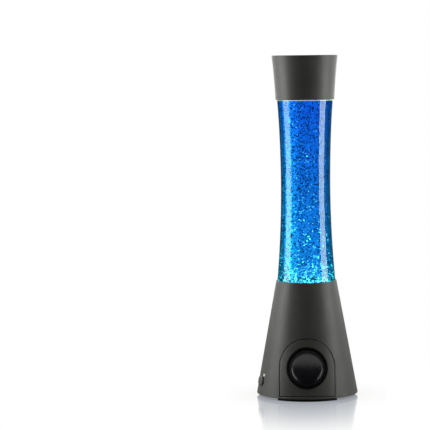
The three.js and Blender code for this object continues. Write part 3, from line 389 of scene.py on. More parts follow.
def housing_sheets():
    """The housing's faces: the back, the front's top and bottom, and the ring round the arch."""
    side = spread(EDGE_HEIGHT, FRONT_TOP, SIDE_ROWS)
    outer = [(cone_radius(height), height) for height in side]

    def inner(height, bend=0):
        return cone_radius(height) - BASE_WALL, height, bend

    top = rounded([
        (cone_radius(FRONT_TOP), FRONT_TOP, 0), (RIM_RADIUS - RIM_DRAW_IN, RIM_HEIGHT, RIM_ROUND),
        (COLLAR_RADIUS, RIM_HEIGHT, RIM_ROUND),
        (COLLAR_RADIUS, EDGE_HEIGHT + (BASE_RADIUS - BASE_WALL - COLLAR_RADIUS) / CONE_SLOPE, 0),
        inner(SHELF_TOP), (SHELF_BORE, SHELF_TOP, RIM_ROUND), (SHELF_BORE, SHELF_BOTTOM, RIM_ROUND),
        inner(SHELF_BOTTOM), inner(FRONT_TOP),
    ])
    climb = [(cone_radius(height), height) for height in CLIMB_HEIGHTS]
    top = top[:1] + climb + top[1:]
    bottom = rounded([
        inner(EDGE_HEIGHT), (BASE_RADIUS - BASE_WALL, base_low.z, SLIGHT_ROUND),
        (BASE_RADIUS + BASE_EDGE_SPREAD, base_low.z, BASE_EDGE_ROUND), (BASE_RADIUS, EDGE_HEIGHT, 0),
    ])
    back_turns = spread(FRONT_ANGLE, tau - FRONT_ANGLE, BACK_COLUMNS)
    front_turns = spread(-FRONT_ANGLE, FRONT_ANGLE, FRONT_COLUMNS)
    whole = outer + top[1:-1] + [inner(height)[:2] for height in side[::-1]] + bottom[1:-1]
    back = grid([upright(whole, turn) for turn in back_turns])
    front = [grid([upright(outline, turn) for turn in front_turns], close_columns=False)
             for outline in (top, bottom)]

    face_rows = [arch_row(SEAM_GAP, BASE_WALL, SEAM_GAP)]
    face_rows += [arch_row(SEAM_GAP + SEAM_ROUND * across, SEAM_ROUND * down)
                  for across, down in round_edge()]
    inside = ring_rows(face_rows[0], BASE_WALL)
    ring = grid(inside[::-1] + face_rows + ring_rows(face_rows[-1], 0))
    return joined(back, *front, ring)


def cut_holes(piece, *cutters):
    """Cuts closed meshes out of a piece."""
    for points, faces in cutters:
        tool = placed("cutter", closed_mesh("cutter", points, faces))
        cut = piece.modifiers.new("cut", "BOOLEAN")
        cut.operation = "DIFFERENCE"
        cut.solver = "FAST"
        cut.object = tool
        cut_mesh = bpy.data.meshes.new_from_object(
            piece.evaluated_get(bpy.context.evaluated_depsgraph_get()))
        piece.modifiers.remove(cut)
        piece.data = cut_mesh
        bpy.data.objects.remove(tool)


def shade_as_cone(piece, inset=0.0):
    """Gives every corner on the cone's face the true cone's normal."""
    mesh = piece.data
    normals = [tuple(corner.vector) for corner in mesh.corner_normals]
    lowest = EDGE_HEIGHT - HEIGHT_TOLERANCE
    highest = RIM_HEIGHT - RIM_ROUND + HEIGHT_TOLERANCE
    for face in mesh.polygons:
        centre = face.center / MM
        away = abs(centre.xy.length - cone_radius(centre.z) + inset)
        if away < FACE_TOLERANCE and face.normal.xy.dot(centre.xy) > 0 and lowest < centre.z < highest:
            for loop in face.loop_indices:
                place = mesh.vertices[mesh.loops[loop].vertex_index].co
                flat = place.xy.normalized() * cos(CONE_ANGLE)
                normals[loop] = (*flat, sin(CONE_ANGLE))
    mesh.normals_split_custom_set(normals)


def stadium(width, height):
    """An oblong with round ends, as (x, y) points."""
    radius = height / 2
    end = arc(width / 2 - radius, 0, radius, -90, 90, END_STEPS)
    return end + [(-x, -y) for x, y in end]


def capped(rows):
    """A closed solid through rows of points, its first and last rows filled."""
    points, faces = grid(rows)
    width = len(rows[0])
    first = tuple(range(width))[::-1]
    last = tuple(range(len(points) - width, len(points)))
    return points, faces + [first, last]


def hole(outline, place):
    """A closed solid that reaches through the wall, to be cut out."""
    return capped([[place @ Vector((x, y, height)) for x, y in outline] for height in HOLE_SPAN])


LENS_PLACE = (7.4, 7.3)
LENS_RADIUS = 1.4
BUTTON_WIDTH = 16.2
BUTTON_TALLNESS = 10.6
FIT = 0.3
INLET_RADIUS = 5.2
HOLE_SPAN = (-6, 4)


def make_housing():
    housing = add_piece("housing_shell", housing_sheets(), "base", "shell_plastic", "base_housing",
                        even=False)
    key = stadium(BUTTON_WIDTH + 2 * FIT, BUTTON_TALLNESS + 2 * FIT)
    lens = circle(LENS_RADIUS + FIT / 2, *LENS_PLACE)
    cut_holes(housing, hole(key, button_frame), hole(lens, button_frame),
              hole(circle(INLET_RADIUS + FIT), inlet_frame))
    smooth(housing)
    shade_as_cone(housing)


def rows_between(outline, to_outline, steps, inset, first=0):
    """Rows of points on the cone's face, less an inset, from one outline to another."""
    return [[on_face(*between(point, to_point, step / steps), inset)
             for point, to_point in zip(outline, to_outline)] for step in range(first, steps + 1)]


def make_panel():
    """The arch-shaped panel with its cup, as one closed band of faces round the loudspeaker."""
    edge = arch(-SEAM_ROUND, -SEAM_ROUND)
    turns = [atan2(y, x) for x, y in edge]

    def ring(radius):
        return [(radius * cos(turn), radius * sin(turn)) for turn in turns]

    def ring_row(radius, depth):
        return [speaker_frame @ Vector((x, y, -depth)) for x, y in ring(radius)]

    rows = [arch_row(-SEAM_ROUND * across, PANEL_INSET + SEAM_ROUND * down)
            for across, down in round_edge()]
    rows += rows_between(edge, ring(CUP_RADIUS + CUP_EDGE_ROUND), FACE_STEPS, PANEL_INSET, first=1)
    for down, across in round_edge(first=1):
        rows.append([on_face(x, y, PANEL_INSET + CUP_EDGE_ROUND * down)
                     for x, y in ring(CUP_RADIUS + CUP_EDGE_ROUND * across)])
    rows += [ring_row(CUP_RADIUS, CUP_DEPTH), ring_row(CUP_BORE, CUP_DEPTH),
             ring_row(CUP_BORE, CUP_BACK), ring_row(CUP_RADIUS + CUP_WALL, CUP_BACK)]
    rows += rows_between(ring(CUP_RADIUS + CUP_WALL), arch(LIP_WIDTH, SEAM_GAP), LIP_STEPS, PANEL_BACK)
    rows.append(arch_row(LIP_WIDTH, LIP_FRONT, SEAM_GAP - LIP_LEAN))
    rows.append(arch_row(0, LIP_FRONT))
    panel = add_piece("speaker_front_panel", grid(rows, close_rows=True), "base", "shell_plastic",
                      "speaker_panel", even=False)
    shade_as_cone(panel, PANEL_INSET)


# Materials


class Nodes:
    """A node tree, with short ways to add to it."""

    def __init__(self, tree):
        self.nodes = tree.nodes
        self.links = tree.links

    def feed(self, socket, source):
        """Links another node's socket to this one, or sets its value."""
        if isinstance(source, bpy.types.NodeSocket):
            self.links.new(source, socket)
        else:
            socket.default_value = source

    def add(self, kind, *sources, **values):
        """A node. Sources feed its inputs in order, and values its inputs or settings by name."""
        node = self.nodes.new("ShaderNode" + kind)
        for key, value in values.items():
            if key in node.inputs:
                self.feed(node.inputs[key], value)
            else:
                setattr(node, key, value)
        for socket, source in zip(node.inputs, sources):
            self.feed(socket, source)
        return node

    def ramp(self, source, low, high, dark=0, light=1, shape="LINEAR"):
        """Carries a value over from one range to another, and holds it at the ends."""
        node = self.add("MapRange", source, low, high, dark, light, interpolation_type=shape)
        return node.outputs["Result"]

    def reckon(self, operation, first, second):
        return self.add("Math", first, second, operation=operation).outputs[0]


class Paint(Nodes):
    """A material and its nodes. The shader is a Principled one."""

    def __init__(self, name, color, roughness, **sockets):
        self.material = bpy.data.materials.new(name)
        self.material.use_nodes = True
        super().__init__(self.material.node_tree)
        self.shader = self.nodes["Principled BSDF"]
        self.set("Base Color", (*color, 1))
        self.set("Roughness", roughness)
        for socket, value in sockets.items():
            self.set(socket.replace("_", " "), value)

    def set(self, socket, source):
        self.feed(self.shader.inputs[socket], source)

    def place(self, stretch=(1, 1, 1)):
        """Coordinates fixed to the piece, in metres, stretched along its axes."""
        source = self.add("TexCoord").outputs["Object"]
        return self.add("Mapping", source, Scale=stretch).outputs["Vector"]

    def height(self):
        """How high the surface is, in metres."""
        return self.add("SeparateXYZ", self.place()).outputs["Z"]

    def noise(self, grain, detail=2, stretch=(1, 1, 1)):
        """Noise whose patches are about the given size in millimetres."""
        node = self.add("TexNoise", Vector=self.place(stretch), Scale=1 / (grain * MM), Detail=detail)
        return node.outputs["Fac"]

    def blended(self, source, first, second):
        """A colour between two, by a value from 0 to 1."""
        return self.add("MixRGB", source, (*first, 1), (*second, 1)).outputs["Color"]

    def shade(self, source, first, second):
        self.set("Base Color", self.blended(source, first, second))

    def clouds(self, grain, detail, dark, light):
        """Slow changes between two colours, given as they show."""
        source = self.ramp(self.noise(grain, detail), NOISE_LOW, NOISE_HIGH)
        self.shade(source, linear(*dark), linear(*light))

    def rough(self, source, low, high):
        self.set("Roughness", self.ramp(source, NOISE_LOW, NOISE_HIGH, low, high))

    def bump(self, *sources):
        """Raises the surface by each source's height in millimetres: (source, height)."""
        normal = None
        for source, height in sources:
            node = self.add("Bump", Strength=1.0, Distance=height * MM, Height=source)
            if normal is not None:
                self.feed(node.inputs["Normal"], normal)
            normal = node.outputs["Normal"]
        self.set("Normal", normal)


def linear(red, green, blue):
    """A colour written as it shows, 0 to 255, as the shader wants it."""
    return tuple((value / 255 / 12.92) if value <= 10 else ((value / 255 + 0.055) / 1.055) ** 2.4
                 for value in (red, green, blue))


def moulded(name, dark, light, roughness, gloss=0.5):
    """Moulded plastic: faint cloudiness, a fine even texture and small changes of gloss."""
    paint = Paint(name, linear(*light), roughness, IOR=PLASTIC_IOR, Specular_IOR_Level=gloss)
    paint.clouds(26, 3, dark, light)
    paint.rough(paint.noise(grain=9), roughness - 0.03, roughness + 0.04)
    paint.bump((paint.noise(grain=0.45, detail=3), 0.012), (paint.noise(grain=2.4), 0.018))
    return paint.material


def metal(name, color, roughness, stretch=(1, 1, 1), grain=0.6, height=0.004):
    """Metal with fine lines along its stretch, darker where it is worn."""
    bright = linear(*color)
    paint = Paint(name, bright, roughness, Metallic=1.0)
    worn = [value * WORN_SHARE for value in bright]
    paint.shade(paint.ramp(paint.noise(grain=7, detail=4), WORN_LOW, NOISE_HIGH), worn, bright)
    lines = paint.noise(grain, 4, stretch)
    paint.rough(lines, roughness * 0.75, roughness * 1.3)
    paint.bump((lines, height))
    return paint.material


def soft(name, dark, light, roughness):
    """Rubber, ceramic and other dull stuff."""
    paint = Paint(name, linear(*light), roughness)
    paint.clouds(12, 3, dark, light)
    paint.rough(paint.noise(grain=5, detail=3), roughness - 0.06, roughness + 0.06)
    paint.bump((paint.noise(grain=0.5, detail=3), 0.02))
    return paint.material


def weave():
    paint = Paint("varnished cloth", linear(176, 122, 52), 0.55)
    wave = paint.add("TexWave", paint.place(), Scale=900.0, Distortion=0.6, bands_direction="DIAGONAL")
    paint.shade(wave.outputs["Fac"], linear(140, 92, 36), linear(190, 136, 62))
    paint.bump((wave.outputs["Fac"], 0.05))
    return paint.material


def circuit():
    """Green solder resist, paler where the copper tracks run under it."""
    paint = Paint("solder resist", linear(24, 88, 50), 0.32)
    tracks = paint.ramp(paint.noise(grain=3, stretch=(1, 6, 1)), 0.52, 0.56)
    paint.shade(tracks, linear(18, 74, 42), linear(32, 104, 60))
    paint.bump((paint.noise(grain=1.5), 0.03))
    return paint.material


def frosted():
    paint = Paint("frosted glass", (0.9, 0.9, 0.88), 0.4, Transmission_Weight=0.55, IOR=GLASS_IOR)
    paint.rough(paint.noise(grain=1.2, detail=3), 0.34, 0.46)
    paint.bump((paint.noise(grain=0.4, detail=3), 0.01))
    return paint.material


def clear_glass():
    """Clear glass with painted shade: where the liquid is behind it, its edges seen side on are coloured
    dark blue and their reflections are dimmed.
    """
    paint = Paint("clear glass", (1, 1, 1), CLEAR_ROUGHNESS, Transmission_Weight=1.0, IOR=BOTTLE_IOR)
    facing = paint.add("LayerWeight", Blend=0.5).outputs["Facing"]
    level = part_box("glitter_fluid")[1].z
    wet = paint.ramp(paint.height(), level + MM, level)
    # Painted shade: the glass turns dark blue where it is seen side on, below the liquid's top
    edge_shade = paint.reckon("MULTIPLY", paint.ramp(facing, GLASS_SHADE_START, GLASS_SHADE_FULL), wet)
    paint.shade(edge_shade, (1, 1, 1), GLASS_EDGE_SHADE_COLOR)
    # Painted shade on the reflections: they turn dark blue at the edges
    dark = paint.ramp(facing, GLASS_DARK_START, GLASS_DARK_FULL)
    paint.set("Specular Tint", paint.blended(dark, (1, 1, 1), GLASS_EDGE_SHADED_GLOSS))
    paint.bump((paint.noise(grain=38, stretch=(1, 1, 0.35)), 0.05))
    return paint.material


def gloss_black():
    paint = Paint("gloss black", linear(42, 40, 47), 0.26, IOR=DISH_IOR)
    paint.rough(paint.noise(grain=8, detail=3), 0.24, 0.29)
    paint.bump((paint.noise(grain=0.5), 0.002))
    return paint.material


def lit_window():
    """The indicator's milky window, lit from behind."""
    paint = Paint("lit window", linear(240, 242, 240), 0.35, Emission_Color=(1, 1, 1, 1),
                  Emission_Strength=WINDOW_GLOW)
    paint.rough(paint.noise(grain=0.8), 0.3, 0.42)
    paint.bump((paint.noise(grain=0.4), 0.004))
    return paint.material


def fluid_blue():
    """Clear blue liquid with painted light: deeper blue at the top, and painted lighter towards the bulb's
    light below.
    """
    paint = Paint("blue fluid", linear(15, 120, 250), 0.0, Transmission_Weight=1.0, IOR=FLUID_IOR)
    low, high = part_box("glitter_fluid")
    # Painted light: the colour gets lighter towards the bottom, where the bulb below shines up into it
    paint.shade(paint.ramp(paint.height(), low.z, high.z), linear(22, 156, 255), linear(15, 104, 252))
    paint.set("Specular Tint", (0.1, 0.1, 0.1, 1))
    return paint.material


def make_materials():
    """Each material slot's material. Colours are as they show, and the numbers after them roughness."""
    return {
        "shell_plastic": moulded("shell plastic", (84, 86, 80), (92, 94, 88), 0.42),
        "black_plastic": moulded("black plastic", (4, 4, 5), (7, 7, 8), 0.6, gloss=0.15),
        "black_rubber": soft("black rubber", (14, 14, 14), (24, 24, 24), 0.62),
        "silicone": soft("silicone", (196, 197, 193), (214, 214, 210), 0.5),
        "spun_aluminium": metal("spun aluminium", (198, 200, 202), 0.28, stretch=(0.15, 0.15, 3)),
        "steel": metal("zinc plated steel", (168, 170, 172), 0.32),
        "brass": metal("brass", (202, 164, 92), 0.3),
        "copper_wire": metal("enamelled copper", (176, 96, 52), 0.3, (1, 1, 9), grain=0.3, height=0.02),
        "ferrite": soft("ferrite", (38, 38, 41), (54, 54, 57), 0.6),
        "white_ceramic": soft("ceramic", (222, 217, 206), (236, 232, 224), 0.42),
        "amber_cloth": weave(),
        "terminal_board": soft("laminate", (138, 104, 58), (158, 122, 72), 0.5),
        "circuit_board": circuit(),
        "white_plastic": soft("white plastic", (234, 235, 231), (244, 244, 241), 0.3),
        "lead_insulation": soft("lead insulation", (140, 22, 20), (168, 30, 27), 0.42),
        "frosted_glass": frosted(),
        "clear_glass": clear_glass(),
        "cone_gloss": gloss_black(),
        "blue_fluid": fluid_blue(),
    }


made = make_materials()


def dress_nodes():
    """Gives every CAD node that still shows its slot's material."""
    slots = {part["node"]: part["material_slot"] for part in frame["record"]["subparts"]}
    for name, node in frame["nodes"].items():
        node.data.materials.clear()
        node.data.materials.append(made[slots[name]])
        edge = node.modifiers.new("edge", "BEVEL")
        edge.width = NODE_EDGE * MM
        edge.segments = 2
        edge.limit_method = "ANGLE"
        edge.angle_limit = NODE_EDGE_ANGLE


# Light, floor and camera


def make_camera():
    """A long lens at the photograph's eye level, rolled a little, with the lamp right of the middle."""
    data = bpy.data.cameras.new("camera")
    data.sensor_width = SENSOR_WIDTH
    data.lens = FOCAL_PIXELS / IMAGE_PIXELS * SENSOR_WIDTH
    camera = placed("camera", data)
    camera.location = (0, -CAMERA_DISTANCE, EYE_HEIGHT)
    middle = IMAGE_PIXELS / 2
    turn = atan((LAMP_PIXEL_X - middle) / FOCAL_PIXELS)
    dip = atan((middle - EYE_PIXEL_Y) / FOCAL_PIXELS)
    aside = Matrix.Rotation(turn, 4, "Z")
    tipped = Matrix.Rotation(pi / 2 - dip, 4, "X")
    rolled = Matrix.Rotation(radians(-CAMERA_ROLL), 4, "Z")
    camera.rotation_euler = (aside @ tipped @ rolled).to_euler()
    bpy.context.scene.camera = camera


def area_light(name, power, width, height=None):
    """A flat lamp, round where it is given no height."""
    data = bpy.data.lights.new(name, "AREA")
    data.shape = "RECTANGLE" if height else "DISK"
    data.size = width
    if height:
        data.size_y = height
    data.energy = power
    return placed(name, data)


def light_only(light, names, meant):
    """Lets a light reach only the named pieces, or all but these."""
    group = bpy.data.collections.new(light.name + " group")
    for name in names:
        group.objects.link(bpy.data.objects[name])
    for member in group.collection_objects:
        member.light_linking.link_state = "INCLUDE" if meant else "EXCLUDE"
    light.light_linking.receiver_collection = group


BOX_DISTANCE = 0.8
SOFTBOX_LOW = 0.1
SOFTBOX_HIGH = 0.95
STRIP_COLOR = (0.82, 1.0, 0.8)
CARD_COLOR = (1.0, 1.0, 0.55)
# azimuth in degrees, width in metres, power in watts
PLASTIC_BOXES = ((-87, 0.5, 6.3), (82, 0.48, 5.3))
RIM_CARDS = ((-140, 1.0, 3.6), (140, 1.0, 4.4))
GLASS_STRIPS = ((-85, 0.41, 4.1), (79.5, 0.43, 6.0))
DISH_STRIPS = ((-80, 0.5, 1.6), (80, 0.5, 1.8))
CARDS_BEHIND = ((157, 0.22, 1.7), (166, 0.075, 0.19), (170.5, 0.075, 0.09), (140, 0.11, 0.4))
TABLE_CARD_NEAR = (-0.10, 0.0)
TABLE_CARD_FAR = (-0.50, 0.083)
TABLE_CARD_WIDTH = 0.6
TABLE_CARD_POWER = 0.165


def softboxes(name, table, names, meant, low=SOFTBOX_LOW):
    """Upright softboxes for the named pieces, or for all but these. Azimuth 0 is the camera's side
    and 90 the right."""
    lights = []
    for number, (azimuth, width, power) in enumerate(table, 1):
        light = area_light(f"{name} {number}", power, width, SOFTBOX_HIGH - low)
        turn = radians(azimuth)
        light.location = upright([(BOX_DISTANCE, (low + SOFTBOX_HIGH) / 2)], turn)[0]
        light.rotation_euler = (pi / 2, 0, turn)
        light.visible_transmission = False
        light_only(light, names, meant)
        lights.append(light)
    return lights


def make_softboxes():
    """Softboxes and rim cards for the plastic, strips for the glass and the dish, cards behind that
    show only through the glass, and a low card in front for the dish."""
    glass = ["bottle_glass", "fluid", "glitter_flakes"]
    dish = ["diaphragm_dish", "surround"]

    softboxes("softbox", PLASTIC_BOXES, glass + dish, False)
    for light in softboxes("rim card", RIM_CARDS, glass + dish, False):
        light.visible_diffuse = False
    for light in softboxes("strip", GLASS_STRIPS, glass, True):
        light.data.color = STRIP_COLOR
    softboxes("dish strip", DISH_STRIPS, dish, True)
    for light in softboxes("card behind", CARDS_BEHIND, glass, True, low=0):
        light.visible_diffuse = False
        light.visible_glossy = False
        light.visible_transmission = True
        light.data.color = CARD_COLOR

    near = Vector((0, *TABLE_CARD_NEAR))
    far = Vector((0, *TABLE_CARD_FAR))
    card = area_light("table card", TABLE_CARD_POWER, TABLE_CARD_WIDTH, (far - near).length)
    card.location = (near + far) / 2
    card.rotation_euler = (pi - atan2(far.z - near.z, near.y - far.y), 0, 0)
    card.visible_transmission = False
    card.visible_camera = False
    light_only(card, dish, True)


def make_world():
    """A white backdrop all round to the camera and through glass. Mirrors see it behind the lamp and a
    dark room in front of it, and the rest gets a dim even light."""
    world = bpy.data.worlds.new("studio")
    bpy.context.scene.world = world
    world.use_nodes = True
    tree = Nodes(world.node_tree)
    tree.nodes.clear()

    def background(color, strength):
        return tree.add("Background", (*color, 1), strength).outputs[0]

    def mixed(factor, first, second):
        return tree.add("MixShader", factor, first, second).outputs[0]

    def either(first, second):
        return tree.reckon("MAXIMUM", first, second)

    white = background((1, 1, 1), 1)
    way = tree.add("SeparateXYZ", tree.add("TexCoord").outputs["Generated"]).outputs
    behind = tree.ramp(way["Y"], BACKDROP_START, BACKDROP_FULL, shape="SMOOTHSTEP")
    below = tree.ramp(way["Z"], GROUND_START, GROUND_FULL, shape="SMOOTHSTEP")
    mirrored = mixed(either(behind, below), background(ROOM_COLOR, ROOM_STRENGTH), white)
    ray = tree.add("LightPath").outputs
    through = ray["Is Transmission Ray"]
    inside = tree.reckon("MINIMUM", ray["Glossy Depth"], through)
    lit = mixed(either(ray["Is Glossy Ray"], inside), background((1, 1, 1), AMBIENT_STRENGTH), mirrored)
    in_floor = tree.reckon("MINIMUM", ray["Is Singular Ray"], ray["Is Reflection Ray"])
    seen = either(ray["Is Camera Ray"], tree.reckon("SUBTRACT", through, inside))
    tree.add("OutputWorld", mixed(either(seen, in_floor), lit, white))


def make_floor():
    """A white glossy floor. The camera sees it white, with the lamp's reflection near it and its shadow;
    everything else gets plain white paint from it."""
    mesh = bpy.data.meshes.new("floor")
    reach = FLOOR_REACH
    front = -FLOOR_FRONT_REACH
    corners = [(-reach, front, 0), (reach, front, 0), (reach, reach, 0), (-reach, reach, 0)]
    mesh.from_pydata(corners, [], [(0, 1, 2, 3)])
    placed("floor", mesh)

    paint = Paint("floor", (FLOOR_WHITE, FLOOR_WHITE, FLOOR_WHITE), 0.5)
    mesh.materials.append(paint.material)

    def vector(operation, *sources, **values):
        return paint.add("VectorMath", *sources, operation=operation, **values).outputs

    spot = vector("MULTIPLY", paint.add("NewGeometry").outputs["Position"], (1, 1, 0))[0]
    far = vector("LENGTH", spot)["Value"]
    fade = paint.ramp(far, REFLECTION_START, REFLECTION_END, REFLECTION_SHARE, 0, "SMOOTHSTEP")
    share = vector("SCALE", REFLECTION_TINT, Scale=fade)[0]
    near = paint.add("AmbientOcclusion", Distance=SHADOW_REACH, samples=8).outputs["AO"]
    white = paint.add("Emission", vector("SUBTRACT", (1, 1, 1), share)[0],
                      paint.ramp(near, 0, 1, SHADOW_DEPTH, 1)).outputs[0]
    uneven = paint.add("Bump", Distance=FLOOR_UNEVENNESS * MM, Height=paint.noise(FLOOR_GRAIN, 1))
    mirror = paint.add("BsdfGlossy", share, 0.0, Normal=uneven.outputs["Normal"]).outputs[0]
    shown = paint.add("AddShader", white, mirror).outputs[0]

    ray = paint.add("LightPath").outputs
    seen = paint.reckon("MAXIMUM", ray["Is Camera Ray"], ray["Is Transmission Ray"])
    whole = paint.add("MixShader", seen, paint.shader.outputs[0], shown)
    paint.feed(paint.nodes["Material Output"].inputs["Surface"], whole.outputs[0])


# Pieces, each from its sizes


def spun(name, outline, body, slot, node, place=Matrix.Identity(4), segments=SEGMENTS):
    return add_piece(name, lathe(outline, segments, place), body, slot, node)


CAP_WALL = 2.2
CAP_THICKNESS = 2.4
CAP_TOP_RADIUS = 36.7
CAP_MIDDLE_RADIUS = 33.9
CAP_LOW_RADIUS = 32.7
CAP_TOP_ROUND = 1.0
CAP_BOTTOM_ROUND = 0.35
CAP_CEILING_ROUND = 0.8
CAP_SIDE_STEPS = 20
CAP_LIP_RADIUS = 31.68
CAP_LIP_RISE = 7.3
CAP_LEDGE_RADIUS = 27.4
CAP_LEDGE_BOTTOM = 342.03
CAP_LEDGE_TOP = 344.03
cap_low, cap_high = span("top_cap")


def flare(height):
    """The cap's outer radius, a quadratic curve."""
    share = (height - cap_low.z) / (cap_high.z - cap_low.z)
    rest = 1 - share
    middle = 2 * CAP_MIDDLE_RADIUS * rest * share
    return CAP_LOW_RADIUS * rest ** 2 + middle + CAP_TOP_RADIUS * share ** 2


def make_cap():
    bottom = cap_low.z
    top = cap_high.z
    ceiling = top - CAP_THICKNESS
    lip_top = bottom + CAP_LIP_RISE

    def inside(height, bend=0):
        return flare(height) - CAP_WALL, height, bend

    side = spread(top, bottom, CAP_SIDE_STEPS)[1:-1]
    spun("cap_shell", rounded([
        (0, top, 0), (flare(top), top, CAP_TOP_ROUND), *((flare(height), height, 0) for height in side),
        (flare(bottom), bottom, CAP_BOTTOM_ROUND), (CAP_LIP_RADIUS, bottom, FINE_ROUND),
        (CAP_LIP_RADIUS, lip_top, 0), inside(lip_top), inside(CAP_LEDGE_BOTTOM),
        (CAP_LEDGE_RADIUS, CAP_LEDGE_BOTTOM, RIM_ROUND),
        (CAP_LEDGE_RADIUS, CAP_LEDGE_TOP, RIM_ROUND),
        inside(CAP_LEDGE_TOP), inside(ceiling, CAP_CEILING_ROUND), (0, ceiling, 0),
    ]), "cap", "shell_plastic", "top_cap", segments=LARGE_SEGMENTS)


WAIST_RADIUS = 27.5
BOTTLE_RADIUS = 32.4
BOTTLE_CURVE = 1180.0
WAIST_RISE = 120.0
SHOULDER_HEIGHT = 332.0
SHOULDER_ROUND = 14.0
SHOULDER_TURN = 82
SHOULDER_INNER_TURN = 80
NECK_RADIUS = 15.0
NECK_LEVEL = 348.3
NECK_FLARE = 0.5
NECK_FLARE_DROP = 1.6
NECK_EDGE = 0.6
GLASS_WALL = 2.2
GLASS_FLOOR = 3.0
HEEL_RADIUS = 6.0
PUNT_RADIUS = 21.0
PUNT_HEIGHT = 2.0
# The fluid goes a little into the glass, so that no air shows between them
FLUID_OVERLAP = 0.05
BOTTLE_SIDE_STEPS = 64
SHOULDER_STEPS = 12
HEEL_STEPS = 10
PUNT_STEPS = 8
bottle_low, bottle_high = span("glass_bottle")
fluid_low, fluid_high = span("glitter_fluid")


def bottle_radius(height):
    rise = height - bottle_low.z - WAIST_RISE
    radius = WAIST_RADIUS + (BOTTLE_CURVE - sqrt(BOTTLE_CURVE ** 2 - rise ** 2))
    return min(BOTTLE_RADIUS, radius) if rise < 0 else radius


def body_line(inset, bottom, top):
    """The bottle's outline from its punt up its side, a distance inside its outer face."""
    punt = [(PUNT_RADIUS * share, bottom + PUNT_HEIGHT * (1 - share ** 2))
            for share in spread(0, 1, PUNT_STEPS)[:-1]]
    start = bottom + HEEL_RADIUS - inset
    heel = arc(BOTTLE_RADIUS - HEEL_RADIUS, start, HEEL_RADIUS - inset, -90, 0, HEEL_STEPS)
    side = spread(start, top, BOTTLE_SIDE_STEPS, first=1)
    return punt + heel + [(bottle_radius(height) - inset, height) for height in side]


def make_bottle():
    floor = bottle_low.z + GLASS_FLOOR
    bore = NECK_RADIUS - GLASS_WALL
    edge = bottle_high.z - NECK_EDGE

    def shoulder(inset, turn):
        centre = bottle_radius(SHOULDER_HEIGHT) - SHOULDER_ROUND
        return arc(centre, SHOULDER_HEIGHT, SHOULDER_ROUND - inset, 0, turn, SHOULDER_STEPS)[1:]

    outer = body_line(0, bottle_low.z, SHOULDER_HEIGHT) + shoulder(0, SHOULDER_TURN)
    outer += [(NECK_RADIUS + NECK_FLARE, NECK_LEVEL - NECK_FLARE_DROP), (NECK_RADIUS, NECK_LEVEL),
              (NECK_RADIUS, edge), (NECK_RADIUS - NECK_EDGE, bottle_high.z)]
    inner = body_line(GLASS_WALL, floor, SHOULDER_HEIGHT) + shoulder(GLASS_WALL, SHOULDER_INNER_TURN)
    inner += [(bore, NECK_LEVEL - GLASS_WALL), (bore, edge), (bore + NECK_EDGE, bottle_high.z)]
    liquid = body_line(GLASS_WALL - FLUID_OVERLAP, floor - FLUID_OVERLAP, fluid_high.z)
    for name, outline, slot, node in (
        ("bottle_glass", outer + inner[::-1], "clear_glass", "glass_bottle"),
        ("fluid", liquid + [(0, fluid_high.z)], "blue_fluid", "glitter_fluid"),
    ):
        piece = spun(name, outline, "bottle", slot, node, segments=BOTTLE_SEGMENTS)
        piece.visible_shadow = False


CLOSURE_EDGE_ROUND = 0.6
CLOSURE_THICKNESS = 1.2
SEAT_RADIUS = 22.5


def ring_section(inner, outer, low, high, low_round=0, high_round=0):
    """A ring's section, its lower and its upper corners rounded."""
    return rounded([(inner, low, low_round), (outer, low, low_round),
                    (outer, high, high_round), (inner, high, high_round)])


def make_fittings():
    """The bottle's screw closure and its liner, and the soft ring that it sits on."""
    low, high = span("bottle_closure")
    inner = NECK_RADIUS + FIT
    ceiling = high.z - CLOSURE_THICKNESS
    spun("screw_closure", rounded([
        (0, high.z, 0), (high.x, high.z, CLOSURE_EDGE_ROUND), (high.x, low.z, FINE_ROUND),
        (inner, low.z, FINE_ROUND), (inner, ceiling, FINE_ROUND), (0, ceiling, 0),
    ]), "bottle", "spun_aluminium", "bottle_closure")
    low, high = span("closure_liner")
    spun("liner", rounded([
        (0, low.z, 0), (high.x, low.z, FINE_ROUND), (high.x, high.z, FINE_ROUND), (0, high.z, 0),
    ]), "bottle", "silicone", "closure_liner")
    low, high = span("bottle_seat_ring")
    spun("seat_ring", ring_section(SEAT_RADIUS, high.x, low.z, high.z, SLIGHT_ROUND, SOFT_ROUND),
         "base", "silicone", "bottle_seat_ring")


# The loudspeaker's sizes, in the speaker's frame
TRIM_INNER = 20.6
TRIM_OUTER = 22.6
TRIM_BACK = -6.0
TRIM_FRONT = 1.0
TRIM_ROUND = 0.8
SURROUND_INNER = 17.85
SURROUND_OUTER = 22.2
SURROUND_BACK = -6.7
SURROUND_FRONT = -6.3
ROLL_RADIUS = 19.2
ROLL_HALF_WIDTH = 1.1
ROLL_HEIGHT = 1.2
ROLL_SIDE_WALL = 0.4
ROLL_TOP_WALL = 0.2
ROLL_STEPS = 16
DISH_RADIUS = 17.6
DISH_MIDDLE = -11.2
DISH_DEPTH = 4.2
DISH_THICKNESS = 0.5
DISH_EDGE_SHARE = 0.28
DISH_EDGE_POWER = 10
DISH_STEPS = 32


